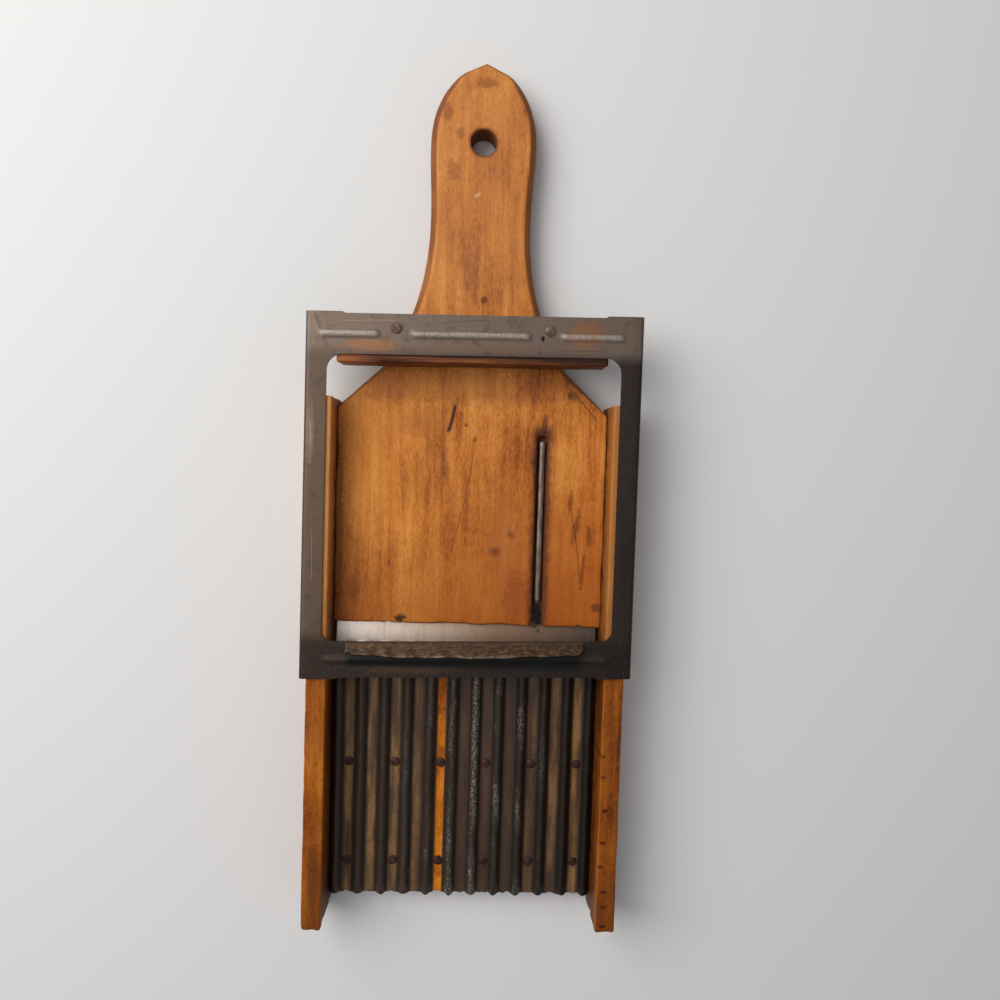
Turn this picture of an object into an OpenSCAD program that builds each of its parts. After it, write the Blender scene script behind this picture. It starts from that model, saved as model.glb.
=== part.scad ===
// Crinkle cutter: a handled board and a ridged bed between two rails, with a sliding food carriage.
// X runs across the rails, +Y points to the tip of the handle and +Z up. Z = 0 is the resting face.

/* [Overall] */
// Length from the feet to the tip of the handle
overall_len = 343; // [310:1:400]
// Clear width between the rails
channel_w = 108.2; // [90:0.1:130]

/* [Rails] */
// Length of each rail
rail_len = 209.5; // [195:0.5:225]
// Thickness of each rail
rail_t = 8; // [7:0.1:12]
// Height of each rail
rail_h = 25.4; // [22:0.1:32]
// Wood left between the end of the runner groove and the foot
runner_stop = 10; // [5:0.5:20]

/* [Board] */
// Thickness of the handled board
board_t = 12.2; // [10:0.1:14]
// Length of the board's straight sides, between the rails
body_len = 86.2; // [70:0.1:100]
// Length of the sloped shoulder along the board
shoulder_len = 16.9; // [10:0.1:24]
// How far each shoulder slopes inwards
shoulder_in = 17.5; // [10:0.1:24]
// How far the lower end is out of square, in degrees
end_skew = -0.3; // [-1:0.1:1]

/* [Handle] */
// Width across the narrow neck
neck_w = 39.8; // [30:0.1:44]
// Distance of the neck from the tip
neck_from_tip = 61; // [50:0.5:75]
// Width across the swollen grip
grip_w = 42; // [34:0.1:50]
// Distance of the widest part of the grip from the tip
grip_from_tip = 32; // [24:0.5:40]
// How fast the neck flares into the shoulders
flare_power = 2.3; // [1.6:0.1:3]
// Roundness of the grip's end
tip_round = 2.2; // [1.8:0.1:3]
// Fullness of the grip's end
tip_full = 0.62; // [0.5:0.01:0.8]
// Half width of the pointed tip for each millimetre below it
tip_slope = 2.15; // [1.2:0.05:3]
// How far the tip leans to one side
handle_lean = 1.2; // [-3:0.1:3]
// Chamfer round the handle, across the face
chamfer_w = 2.6; // [0.5:0.1:3.5]
// Chamfer round the handle, down the edge
chamfer_h = 2.4; // [0.5:0.1:3.5]
// Diameter of the hanging hole
hang_d = 10; // [6:0.1:14]
// Distance of the hanging hole from the tip
hang_from_tip = 31.4; // [24:0.1:40]

/* [Rod in the board] */
// Diameter of the iron rod
rod_d = 2.8; // [1.6:0.1:4]
// Length of the rod
rod_len = 65; // [40:0.5:72]
// Distance of the rod from the middle of the board
rod_x = 28.1; // [-45:0.1:45]
// Distance of the rod's lower end from the board's lower end
rod_from_end = 10; // [8:0.5:20]
// Gap on each side of the rod in its groove
rod_side_gap = 0.7; // [0.3:0.1:1.5]
// Gap between the rod's upper end and the end of its groove
rod_end_gap = 2; // [0.5:0.1:6]

/* [Bed] */
// Thickness of the bed board
bed_t = 7.5; // [5:0.1:9]
// Length of the bed
bed_len = 94.7; // [80:0.1:110]
// Distance of the bed's lower end from the feet
bed_inset = 6.8; // [3:0.1:15]
// Thickness of the ridged plates
plate_t = 0.5; // [0.4:0.05:1]
// Height of the ridges
ridge_h = 2.5; // [1.5:0.1:3.5]
// Number of ridges across the bed
ridge_count = 12; // [8:1:14]
// Number of ridges on the left plate
left_ridges = 5; // [2:1:7]
// Sharpness of the ridges: lower values make them fuller
ridge_power = 0.8; // [0.6:0.1:1.6]
// Width of the bare seam between the two plates
seam_w = 3.4; // [1:0.1:3.4]

/* [Blade] */
// Gap between the cutting edge and the bed
throat = 5; // [3:0.1:8]
// How far the blade stands out of the board
blade_out = 13.5; // [10:0.1:18]
// Full width of the blade, from its back to its cutting edge
blade_w = 28.5; // [26:0.1:34]
// Gap between each end of the blade and the rail
blade_end_gap = 1.7; // [0.4:0.1:6]
// Thickness of the blade
blade_t = 1.2; // [0.8:0.1:1.6]
// Thickness left at the cutting edge
edge_t = 0.25; // [0.1:0.05:0.5]
// Rise of the blade towards its cutting edge, in degrees
blade_tilt = 8; // [4:0.5:9]
// Width of the rippled part behind the cutting edge
ripple_len = 6; // [4:0.1:8]
// Height of the ripples above and below the flat of the blade
ripple_h = 1.2; // [0.6:0.1:1.6]
// How far the board's lower jaw stands back behind its upper one
jaw_back = 1.5; // [0.5:0.1:4]
// Slope of the board's cut-away under the blade, from the vertical, in degrees
relief_angle = 35; // [20:1:40]
// Number of brads through the blade
blade_pin_count = 3; // [2:1:5]
// Distance of the outer brads from the blade's ends
blade_pin_end = 11; // [6:0.5:20]
// Distance of the brads from the blade's back
blade_pin_back = 5; // [3:0.1:6]

/* [Carriage frame] */
// Length of the frame along the rails
frame_len = 140.6; // [125:0.1:150]
// Distance of the frame's middle from the middle of the cutter
frame_y = 0.4; // [-2:0.1:2]
// Thickness of the sheet metal
sheet_t = 0.8; // [0.5:0.05:1]
// Gap between a rail and the folded side of the frame
side_gap = 1.7; // [0.8:0.1:2]
// Width of the window's side strips
side_strip_w = 8.3; // [6:0.1:9]
// Width of the upper bar
upper_bar_w = 16; // [12:0.1:22]
// Width of the lower bar
lower_bar_w = 14.8; // [12:0.1:20]
// Radius of the window's upper corners
upper_corner_r = 6; // [3:0.1:9]
// Radius of the window's lower corners
lower_corner_r = 4; // [2:0.1:7]
// Outer radius of the bend along each side
bend_r = 1.8; // [1.3:0.1:2.4]
// Gap above and below the in-turned runner lip in its groove
runner_gap = 0.6; // [0.3:0.05:0.7]
// Gap between the edge of the runner lip and the bottom of its groove
runner_end_gap = 0.8; // [0.4:0.1:1.5]
// Depth of the runner groove's roof below the rail's top
runner_drop = 4.8; // [4:0.1:8]
// How far each runner lip reaches into its groove
runner_in = 2.1; // [1:0.1:2.6]
// Distance from the frame's lower end to the runner lip
runner_inset = 5; // [2:0.5:12]
// How far the worn frame is out of square, in degrees
frame_skew = 1.1; // [-2:0.1:2]
// How far the outer edges of the bars stand back between the corners
bar_relief = 0.6; // [0:0.1:1]
// Width of the embossed ribs
rib_w = 4.2; // [3:0.1:6]
// Height of the embossed ribs
rib_h = 0.8; // [0.4:0.1:1.2]

/* [Turned-up lip] */
// Length of the lip along the window's lower edge
lip_len = 91.6; // [70:0.1:96]
// Width of the lip from its fold to its free edge
lip_w = 5.6; // [4:0.1:7]
// How much further the bent middle of the lip reaches
lip_bulge = 1.2; // [0:0.1:2]
// Slope of the lip above the bar, in degrees
lip_angle = 34; // [20:1:60]

/* [Pusher cleat] */
// Mean gap between each end of the cleat and the rail
cleat_end_gap = 2; // [1.4:0.1:6]
// Depth of the cleat, along the channel
cleat_w = 17.5; // [14:0.1:20]
// Gap between the cleat and the board under it
cleat_gap = 0.8; // [0.4:0.1:2]
// How far the cleat stands out in front of the upper bar
cleat_out = 3; // [1:0.1:5]
// Distance between the cleat's two nails
cleat_nail_pitch = 58.7; // [40:0.1:80]
// Diameter of the cleat nails' heads
cleat_head_d = 4.4; // [3:0.1:6]

/* [Nails] */
// Diameter of the nails' shanks
nail_d = 1.6; // [1.2:0.1:2.2]
// Diameter of the bed nails' heads
bed_head_d = 3.8; // [3.5:0.1:4.4]
// Thickness of the nails' heads
head_t = 0.7; // [0.4:0.1:1]
// Length of the bed nails under the head
bed_nail_len = 6; // [4:0.1:7]
// Length of the nails through the rails
rail_nail_len = 22; // [16:0.5:30]
// Length of the cleat nails under the head
cleat_nail_len = 11; // [8:0.5:12]
// Distance of the lower row of bed nails from the lower end of the bed
lower_row_inset = 13.7; // [8:0.1:24]
// Distance of the upper row of bed nails from the upper end of the bed
upper_row_inset = 39.7; // [20:0.1:50]
// Distance of the outer nails from the ends of the board's straight sides
board_nail_inset = 22; // [16:0.5:30]
// Distance of the outer nails from the ends of the bed board
bed_board_nail_inset = 12; // [6:0.5:24]

/* [Clearances] */
// Running gap between the frame and the rail tops
slide_gap = 0.1; // [0.05:0.05:0.4]
// Gap between a plate's edge and the rail
plate_gap = 0.3; // [0.1:0.1:1]
// Gap between a bed nail's head and the ridges beside it
valley_gap = 0.1; // [0.05:0.05:0.4]

/* [Hidden] */
$fn = 48;

// Colours
board_wood = [0.66, 0.38, 0.13];
rail_wood = [0.69, 0.40, 0.10];
cleat_wood = [0.40, 0.19, 0.09];
dark_tin = [0.30, 0.24, 0.20];
ridge_tin = [0.27, 0.25, 0.23];
steel = [0.78, 0.76, 0.73];
old_iron = [0.16, 0.13, 0.12];

// A cut runs this far past the face that it opens
over = 1;

// Places along the cutter
foot_y = -overall_len / 2;
tip_y = overall_len / 2;
bed_lo_y = foot_y + bed_inset;
bed_hi_y = bed_lo_y + bed_len;
edge_y = bed_hi_y + throat;
board_end_y = edge_y + blade_out;
shoulder_y = board_end_y + body_len;
root_y = shoulder_y + shoulder_len;
neck_y = tip_y - neck_from_tip;
grip_y = tip_y - grip_from_tip;
hang_y = tip_y - hang_from_tip;
jaw_y = board_end_y + jaw_back;

// Places across it
rail_in_x = channel_w / 2;
rail_out_x = rail_in_x + rail_t;
frame_half_w = rail_out_x + side_gap + sheet_t;
window_half_w = frame_half_w - side_strip_w;
root_half_w = rail_in_x - shoulder_in;
runner_depth = runner_in + runner_end_gap;
blade_len = channel_w - 2 * blade_end_gap;
cleat_len = channel_w - 2 * cleat_end_gap;

// Heights
sheet_z = rail_h + slide_gap;
sheet_top_z = sheet_z + sheet_t;
runner_h = sheet_t + 2 * runner_gap;
runner_roof_z = rail_h - runner_drop;
runner_floor_z = runner_roof_z - runner_h;
runner_lip_z = runner_roof_z - runner_gap - sheet_t;
cleat_z = board_t + cleat_gap;

// The frame's own places
frame_lo_y = frame_y - frame_len / 2;
frame_hi_y = frame_y + frame_len / 2;
window_lo_y = frame_lo_y + lower_bar_w;
window_hi_y = frame_hi_y - upper_bar_w;
cleat_front_y = window_hi_y - cleat_out;

// Chamfers at the shoulders and at the tip are narrower than along the handle
shoulder_chamfer = 2;
tip_chamfer = 1.2;
chamfer_fade = 4;
handle_steps = 30;

// The rod lies this far below the face of the board, in a groove with a little room round it
rod_sink = 0.4;
rod_groove_w = rod_d + 2 * rod_side_gap;
rod_groove_len = rod_from_end + rod_len + rod_end_gap;

// Ridges with flat valleys between them, just wider than the nail heads, and the seam between the plates
ridge_pitch = (channel_w - 2 * plate_gap) / (ridge_count - 0.5);
ridge_w = ridge_pitch - bed_head_d - 2 * valley_gap;
ridge_points = 12;
seam_x = valley_x(left_ridges - 1);

// The ripples keep their full height from the cutting edge to the middle of the rippled strip
ripple_steps = 6;
bevel_len = 2;

// Nails through the rails
rail_head_d = 3.2;
board_nail_ys = [board_end_y + board_nail_inset, (board_end_y + shoulder_y) / 2, shoulder_y - board_nail_inset / 2];
bed_nail_ys = [bed_lo_y + bed_board_nail_inset, (bed_lo_y + bed_hi_y) / 2, bed_hi_y - bed_board_nail_inset];

// The brads of the blade start just inside the board's underside and stop short of its face
blade_pin_z = 0.4;
blade_pin_cover = 2;
blade_pin_len = board_t - blade_pin_z - blade_pin_cover;

// Ribs on the frame's bars: [left end, right end, distance from the window's edge]
upper_ribs = [[-59.2, -36.4, 7.8], [-24, 20.2, 7.8], [32.4, 56.6, 7.8]];
lower_ribs = [[-55, 55, 7.2]];
// Length of the corners outside which the bars' outer edges stand back
corner_len = 14;

// The lip and the cleat sit a little left of the middle
lip_x = -0.8;
lip_corner = 2.5;
lip_steps = 16;
cleat_x = -0.8;
cleat_nail_y = 13;

// Half width of the handle at a place between its root and its tip
function flare(y) = (root_half_w - neck_w / 2) * pow((neck_y - y) / (neck_y - root_y), flare_power);
function swell(y) = (grip_w - neck_w) / 4 * (1 - cos(180 * (y - neck_y) / (grip_y - neck_y)));
function grip_end(y) = grip_w / 2 * pow(1 - pow((y - grip_y) / (tip_y - grip_y), tip_round), tip_full);
function handle_half_w(y) =
    y < neck_y ? neck_w / 2 + flare(y)
    : y < grip_y ? neck_w / 2 + swell(y)
    : min(tip_slope * (tip_y - y), grip_end(y));

// The middle of the handle leans to one side towards the tip
function handle_mid_x(y) = handle_lean * max(0, y - root_y) / (tip_y - root_y);

// Stations along the handle lie closer together towards the tip
function handle_station(i) = root_y + (tip_y - root_y) * sin(90 * i / handle_steps);

// One side of the board, from its lower corner to just before the tip: [point, chamfer across the face]
function board_side(side) = concat(
    [[[side * rail_in_x, board_end_y + side * rail_in_x * tan(end_skew)], 0],
     [[side * rail_in_x, shoulder_y], 0]],
    [for (i = [0 : handle_steps - 1])
        let (y = handle_station(i))
        [[handle_mid_x(y) + side * handle_half_w(y), y],
         i == 0 ? shoulder_chamfer : min(chamfer_w, max(tip_chamfer, (tip_y - y) / chamfer_fade))]]);
function reversed(list) = [for (i = [len(list) - 1 : -1 : 0]) list[i]];
board_rim = concat(board_side(1), [[[handle_lean, tip_y], tip_chamfer]], reversed(board_side(-1)));

// Each point of a rim, moved inwards by its chamfer, square to the line through its neighbours
function inset_point(rim, i) =
    let (n = len(rim),
         along = rim[(i + 1) % n][0] - rim[(i + n - 1) % n][0],
         inwards = [-along.y, along.x] / norm(along))
    rim[i][0] + rim[i][1] * inwards;
function inset_rim(rim) = [for (i = [0 : len(rim) - 1]) inset_point(rim, i)];
function at_height(points, z) = [for (p = points) [p.x, p.y, z]];

// A closed skin over rings that all have the same odd number of points, from the bottom up.
// Each end is stitched across from side to side, because the outline isn't convex.
module ringed_solid(rings) {
    n = len(rings[0]);
    last = (len(rings) - 1) * n;
    points = [for (r = rings) for (p = r) p];
    walls = [for (k = [0 : len(rings) - 2]) for (i = [0 : n - 1])
        let (a = k * n + i, b = k * n + (i + 1) % n)
        each [[a, a + n, b + n], [a, b + n, b]]];
    stitches = [for (i = [0 : (n - 3) / 2])
        let (a = i, b = i + 1, c = n - 2 - i, d = n - 1 - i)
        each b == c ? [[d, b, a]] : [[d, b, a], [d, c, b]]];
    top = [for (t = stitches) [last + t[0], last + t[1], last + t[2]]];
    bottom = [for (t = stitches) [t[2], t[1], t[0]]];
    polyhedron(points, concat(bottom, top, walls), convexity = 6);
}

module round_bar(d, length) {
    rotate([-90, 0, 0]) cylinder(d = d, h = length);
}

// A profile in the Y-Z plane, run across the whole channel
module across_channel() {
    translate([-rail_in_x - over, 0, 0]) rotate([90, 0, 90]) linear_extrude(channel_w + 2 * over) children();
}

// Nails: the tip of a nail points up, and its head lies below its place
module nail(head_d, length) {
    cylinder(d = nail_d, h = length);
    translate([0, 0, -head_t]) cylinder(d = head_d, h = head_t);
}
module nail_hole(length) {
    translate([0, 0, -over]) cylinder(d = nail_d, h = length + over);
}

// Places of the nails through a rail into the edges of the two boards
function rail_nail_z(y) = y > edge_y ? board_t / 2 : bed_t / 2;
module rail_nail_places(side) {
    for (y = concat(board_nail_ys, bed_nail_ys))
        translate([side * rail_out_x, y, rail_nail_z(y)]) rotate([0, -90 * side, 0]) children();
}
module both_rails_nail_holes() {
    for (side = [-1, 1]) rail_nail_places(side) nail_hole(rail_nail_len);
}

// Board with its handle
module board_blank() {
    outline = [for (p = board_rim) p[0]];
    inner = inset_rim(board_rim);
    ringed_solid([at_height(inner, 0), at_height(outline, chamfer_h),
                  at_height(outline, board_t - chamfer_h), at_height(inner, board_t)]);
}

// The blade's own frame: its cutting edge lies along X, and its body runs back and down from it
module on_blade() {
    translate([0, edge_y, board_t]) rotate([-blade_tilt, 0, 0]) children();
}
// Heights of the blade's underside and of its middle at a place along the cutter
function blade_under_z(y) = board_t - (y - edge_y) * tan(blade_tilt) - blade_t / cos(blade_tilt);
function blade_mid_z(y) = blade_under_z(y) + blade_t / (2 * cos(blade_tilt));

// The slot that holds the blade's back and, below the blade, the sloping way out for the slices
module blade_slot() {
    on_blade() translate([-rail_in_x - over, 0, -blade_t]) cube([channel_w + 2 * over, blade_w, blade_t]);
    open_y = board_end_y - over;
    slope_y = jaw_y + (blade_under_z(jaw_y) + over) * tan(relief_angle);
    across_channel() polygon([[open_y, -over], [slope_y, -over], [jaw_y, blade_under_z(jaw_y)],
                              [jaw_y, blade_mid_z(jaw_y)], [open_y, blade_mid_z(open_y)]]);
}

// Round-bottomed groove, as deep as the rod and a little more
module rod_groove() {
    floor_z = board_t - rod_d - rod_sink;
    mid_z = floor_z + rod_groove_w / 2;
    translate([rod_x, board_end_y - over, mid_z]) round_bar(rod_groove_w, rod_groove_len + over);
    translate([rod_x - rod_groove_w / 2, board_end_y - over, mid_z])
        cube([rod_groove_w, rod_groove_len + over, board_t - mid_z + over]);
}

module handle_board() {
    color(board_wood) difference() {
        board_blank();
        translate([handle_mid_x(hang_y), hang_y, -over]) cylinder(d = hang_d, h = board_t + 2 * over);
        blade_slot();
        rod_groove();
        blade_pin_places() nail_hole(blade_pin_len);
        both_rails_nail_holes();
    }
}

module board_rod() {
    color(old_iron) translate([rod_x, board_end_y + rod_from_end, board_t - rod_sink - rod_d / 2])
        round_bar(rod_d, rod_len);
}

// Ripples of the blade, in step with the ridges of the bed
function ripple(x) = cos(360 * (x / ridge_pitch + (ridge_count % 2) / 2 + 0.5));

// Rippled strip from the cutting edge back to the flat of the blade
module rippled_edge() {
    function fade(s) = s < ripple_len / 2 ? 1 : (1 + cos(180 * (2 * s / ripple_len - 1))) / 2;
    function thickness(s) = s < bevel_len ? edge_t + (blade_t - edge_t) * s / bevel_len : blade_t;
    rows = [0, bevel_len, ripple_len / 2, ripple_len * 3 / 4, ripple_len];
    columns = ridge_count * ripple_steps;
    n = columns + 1;
    upper = [for (s = rows) for (c = [0 : columns])
        let (x = blade_len * (c / columns - 1 / 2))
        [x, s, ripple_h * fade(s) * ripple(x)]];
    lower = [for (p = upper) [p.x, p.y, p.z - thickness(p.y)]];
    m = len(upper);
    back = m - n;
    faces = [for (r = [0 : len(rows) - 2]) for (c = [0 : columns - 1])
        let (a = r * n + c, b = a + n)
        each [[a, b, b + 1], [a, b + 1, a + 1], [m + a, m + b + 1, m + b], [m + a, m + a + 1, m + b + 1]]];
    ends = [for (r = [0 : len(rows) - 2])
        let (a = r * n, b = a + n, c = a + columns, d = b + columns)
        each [[a, m + a, m + b], [a, m + b, b], [c, m + d, m + c], [c, d, m + d]]];
    edges = [for (c = [0 : columns - 1])
        let (b = back + c)
        each [[c, c + 1, m + c + 1], [c, m + c + 1, m + c], [b, m + b + 1, b + 1], [b, m + b, m + b + 1]]];
    polyhedron(concat(upper, lower), concat(faces, ends, edges), convexity = 6);
}

module blade() {
    color(steel) difference() {
        on_blade() {
            translate([-blade_len / 2, ripple_len, -blade_t]) cube([blade_len, blade_w - ripple_len, blade_t]);
            rippled_edge();
        }
        blade_pin_places() nail_hole(blade_pin_len);
    }
}

// Brads up through the board's lower jaw and the back of the blade
module blade_pin_places() {
    reach = blade_len / 2 - blade_pin_end;
    for (i = [0 : blade_pin_count - 1])
        translate([reach * (2 * i / (blade_pin_count - 1) - 1), edge_y + blade_w - blade_pin_back, blade_pin_z])
            children();
}
module blade_pins() {
    color(old_iron) blade_pin_places() cylinder(d = nail_d, h = blade_pin_len);
}

// Rails, each with a groove in its outer face for the frame's runner lip
module rail(side) {
    color(rail_wood) difference() {
        translate([side > 0 ? rail_in_x : -rail_out_x, foot_y, 0]) cube([rail_t, rail_len, rail_h]);
        translate([side > 0 ? rail_out_x - runner_depth : -rail_out_x - over, foot_y + runner_stop, runner_floor_z])
            cube([runner_depth + over, rail_len, runner_h]);
        rail_nail_places(side) nail_hole(rail_nail_len);
    }
}
module left_rail() {
    rail(-1);
}
module right_rail() {
    rail(1);
}
module rail_nails(side) {
    color(old_iron) rail_nail_places(side) nail(rail_head_d, rail_nail_len);
}
module left_rail_nails() {
    rail_nails(-1);
}
module right_rail_nails() {
    rail_nails(1);
}

module bed_board() {
    color(rail_wood) difference() {
        translate([-rail_in_x, bed_lo_y, 0]) cube([channel_w, bed_len, bed_t]);
        bed_nail_places() nail_hole(bed_nail_len);
        both_rails_nail_holes();
    }
}

// Ridges and valleys alternate at one pitch, counted from the middle of the bed
function ridge_x(i) = (i - (ridge_count - 1) / 2) * ridge_pitch;
function valley_x(i) = ridge_x(i) + ridge_pitch / 2;
function plate_lift(x) =
    let (from_top = abs(x - ridge_x(round(x / ridge_pitch + (ridge_count - 1) / 2))))
    from_top < ridge_w / 2 ? ridge_h * pow((1 + cos(360 * from_top / ridge_w)) / 2, ridge_power) : 0;

// Ridged plate from one place across the bed to another
module plate_section(x0, x1) {
    ridges = [for (i = [0 : ridge_count - 1]) for (k = [0 : ridge_points])
        let (x = ridge_x(i) + ridge_w * (k / ridge_points - 1 / 2))
        if (x > x0 && x < x1) x];
    under = [for (x = concat(x0, ridges, x1)) [x, bed_t + plate_lift(x)]];
    polygon(concat(under, [for (p = reversed(under)) [p.x, p.y + plate_t]]));
}
module ridged_plate(x0, x1) {
    color(ridge_tin) difference() {
        translate([0, bed_hi_y, 0]) rotate([90, 0, 0]) linear_extrude(bed_len) plate_section(x0, x1);
        bed_nail_places() nail_hole(bed_nail_len);
    }
}
module left_ridged_plate() {
    ridged_plate(-rail_in_x + plate_gap, seam_x - seam_w / 2);
}
module right_ridged_plate() {
    ridged_plate(seam_x + seam_w / 2, rail_in_x - plate_gap);
}

// Bed nails stand in every second valley, in two rows, with their heads on the plates
module bed_nail_places() {
    for (y = [bed_lo_y + lower_row_inset, bed_hi_y - upper_row_inset])
        for (i = [0 : 2 : ridge_count - 2])
            translate([valley_x(i), y, bed_t + plate_t]) mirror([0, 0, 1]) children();
}
module bed_nails() {
    color(old_iron) bed_nail_places() nail(bed_head_d, bed_nail_len);
}

// A point of the frame, whose bars slope across the cutter
function skewed(x, y) = [x, y + x * tan(frame_skew)];

module frame_outline() {
    w = frame_half_w + over;
    c = frame_half_w - corner_len;
    polygon([skewed(-w, frame_lo_y), skewed(-c, frame_lo_y), skewed(-c + over, frame_lo_y + bar_relief),
             skewed(c - over, frame_lo_y + bar_relief), skewed(c, frame_lo_y), skewed(w, frame_lo_y),
             skewed(w, frame_hi_y), skewed(c, frame_hi_y), skewed(c - over, frame_hi_y - bar_relief),
             skewed(-c + over, frame_hi_y - bar_relief), skewed(-c, frame_hi_y), skewed(-w, frame_hi_y)]);
}
module window_outline() {
    u = upper_corner_r;
    l = lower_corner_r;
    w = window_half_w;
    polygon([skewed(-w + l, window_lo_y), skewed(w - l, window_lo_y), skewed(w, window_lo_y + l),
             skewed(w, window_hi_y - u), skewed(w - u, window_hi_y), skewed(-w + u, window_hi_y),
             skewed(-w, window_hi_y - u), skewed(-w, window_lo_y + l)]);
    for (side = [-1, 1]) {
        translate(skewed(side * (w - u), window_hi_y - u)) circle(u);
        translate(skewed(side * (w - l), window_lo_y + l)) circle(l);
    }
}

// Section of the sheet across the rails: flat top, rounded bends and folded sides
module frame_section() {
    bend_z = sheet_top_z - bend_r;
    for (side = [0, 1]) mirror([side, 0]) {
        translate([0, sheet_z]) square([frame_half_w - bend_r, sheet_t]);
        translate([frame_half_w - sheet_t, runner_lip_z]) square([sheet_t, bend_z - runner_lip_z]);
        translate([frame_half_w - bend_r, bend_z]) intersection() {
            difference() {
                circle(bend_r);
                circle(bend_r - sheet_t);
            }
            square(bend_r + over);
        }
    }
}
module folded_sheet() {
    difference() {
        intersection() {
            translate([0, frame_hi_y + corner_len, 0]) rotate([90, 0, 0])
                linear_extrude(frame_len + 2 * corner_len) frame_section();
            linear_extrude(sheet_top_z + over) frame_outline();
        }
        translate([0, 0, sheet_z - over]) linear_extrude(sheet_t + 2 * over) window_outline();
    }
}
module runner_lip(side) {
    reach = side_gap + runner_in + sheet_t;
    translate([side > 0 ? frame_half_w - reach : -frame_half_w, frame_lo_y + runner_inset, runner_lip_z])
        cube([reach, frame_len - 2 * runner_inset, sheet_t]);
}

// Embossed rib: a round-ended bar that stands out of the sheet
module rib(x0, x1) {
    half = rib_w / 2;
    r = (half * half + rib_h * rib_h) / (2 * rib_h);
    intersection() {
        translate([0, 0, rib_h - r]) {
            translate([x0 + half, 0, 0]) rotate([0, 90, 0]) cylinder(r = r, h = x1 - x0 - rib_w);
            for (x = [x0 + half, x1 - half]) translate([x, 0, 0]) sphere(r);
        }
        translate([x0, -half, -sheet_t / 2]) cube([x1 - x0, rib_w, sheet_t / 2 + rib_h + over]);
    }
}
module ribs() {
    rotate([0, 0, frame_skew]) {
        for (r = upper_ribs) translate([0, window_hi_y + r[2], sheet_top_z]) rib(r[0], r[1]);
        for (r = lower_ribs) translate([0, window_lo_y - r[2], sheet_top_z]) rib(r[0], r[1]);
    }
}

// Lip turned up from the window's lower edge and leaning back over the bar
module lip_outline() {
    h = lip_len / 2;
    reach = h - lip_corner;
    free_edge = [for (i = [0 : lip_steps])
        let (x = reach * (1 - 2 * i / lip_steps))
        [x, lip_w + lip_bulge * pow(cos(90 * x / h), 2)]];
    polygon(concat([[-h, 0], [h, 0], [h, lip_w - lip_corner]], free_edge, [[-h, lip_w - lip_corner]]));
}
module turned_lip() {
    root = skewed(lip_x, window_lo_y);
    translate([root.x, root.y, sheet_top_z]) rotate([lip_angle, 0, 180 + frame_skew])
        translate([0, 0, -sheet_t]) linear_extrude(sheet_t) lip_outline();
}

module carriage_frame() {
    color(dark_tin) difference() {
        union() {
            folded_sheet();
            runner_lip(-1);
            runner_lip(1);
            ribs();
            turned_lip();
        }
        cleat_nail_places() nail_hole(sheet_t + over);
    }
}

// Wooden cleat under the upper bar, just clear of the board
module on_cleat() {
    root = skewed(cleat_x, cleat_front_y);
    translate([root.x, root.y, 0]) rotate([0, 0, frame_skew]) children();
}
module cleat_nail_places() {
    for (side = [-1, 1])
        on_cleat() translate([side * cleat_nail_pitch / 2, cleat_nail_y, sheet_top_z]) mirror([0, 0, 1]) children();
}
module pusher_cleat() {
    color(cleat_wood) difference() {
        on_cleat() translate([-cleat_len / 2, 0, cleat_z]) cube([cleat_len, cleat_w, sheet_z - cleat_z]);
        cleat_nail_places() nail_hole(cleat_nail_len);
    }
}
module pusher_nails() {
    color(old_iron) cleat_nail_places() nail(cleat_head_d, cleat_nail_len);
}

handle_board();
board_rod();
blade();
blade_pins();
left_rail();
right_rail();
left_rail_nails();
right_rail_nails();
bed_board();
left_ridged_plate();
right_ridged_plate();
bed_nails();
carriage_frame();
pusher_cleat();
pusher_nails();
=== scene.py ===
"""The looks of the crinkle cutter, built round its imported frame.

Lengths are in millimetres until a mesh is made, apart from the lamps and the floor, which are in metres.
"""
import math

import bpy
import numpy as np
from mathutils import Matrix, Vector
from mathutils.geometry import delaunay_2d_cdt
from mathutils.kdtree import KDTree


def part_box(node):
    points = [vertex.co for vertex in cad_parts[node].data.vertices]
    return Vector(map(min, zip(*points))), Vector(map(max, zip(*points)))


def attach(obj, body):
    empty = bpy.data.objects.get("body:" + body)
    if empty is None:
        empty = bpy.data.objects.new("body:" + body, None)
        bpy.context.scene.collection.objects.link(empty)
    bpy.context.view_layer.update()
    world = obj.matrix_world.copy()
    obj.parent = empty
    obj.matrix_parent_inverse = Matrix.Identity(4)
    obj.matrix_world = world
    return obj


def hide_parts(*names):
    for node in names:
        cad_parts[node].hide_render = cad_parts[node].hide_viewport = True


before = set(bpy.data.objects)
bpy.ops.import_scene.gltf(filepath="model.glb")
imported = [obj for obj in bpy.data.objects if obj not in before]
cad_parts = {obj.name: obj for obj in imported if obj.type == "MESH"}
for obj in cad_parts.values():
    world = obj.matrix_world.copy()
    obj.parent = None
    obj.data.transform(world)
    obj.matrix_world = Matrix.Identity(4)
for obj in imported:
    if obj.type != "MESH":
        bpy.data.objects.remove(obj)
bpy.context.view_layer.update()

MM = 0.001

# Camera of the photograph: its place, its turns about X, Y and Z, and its lens on a 36 mm wide sensor
CAMERA_PLACE = (-2.65, 14.75, 337.37)
CAMERA_TURNS = (-2.768, -2.431, 1.708)
CAMERA_LENS = 29.16


def node_box(node):
    """Lowest and highest corners of a CAD node, in millimetres."""
    low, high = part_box(node)
    return np.array(low) / MM, np.array(high) / MM


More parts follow.
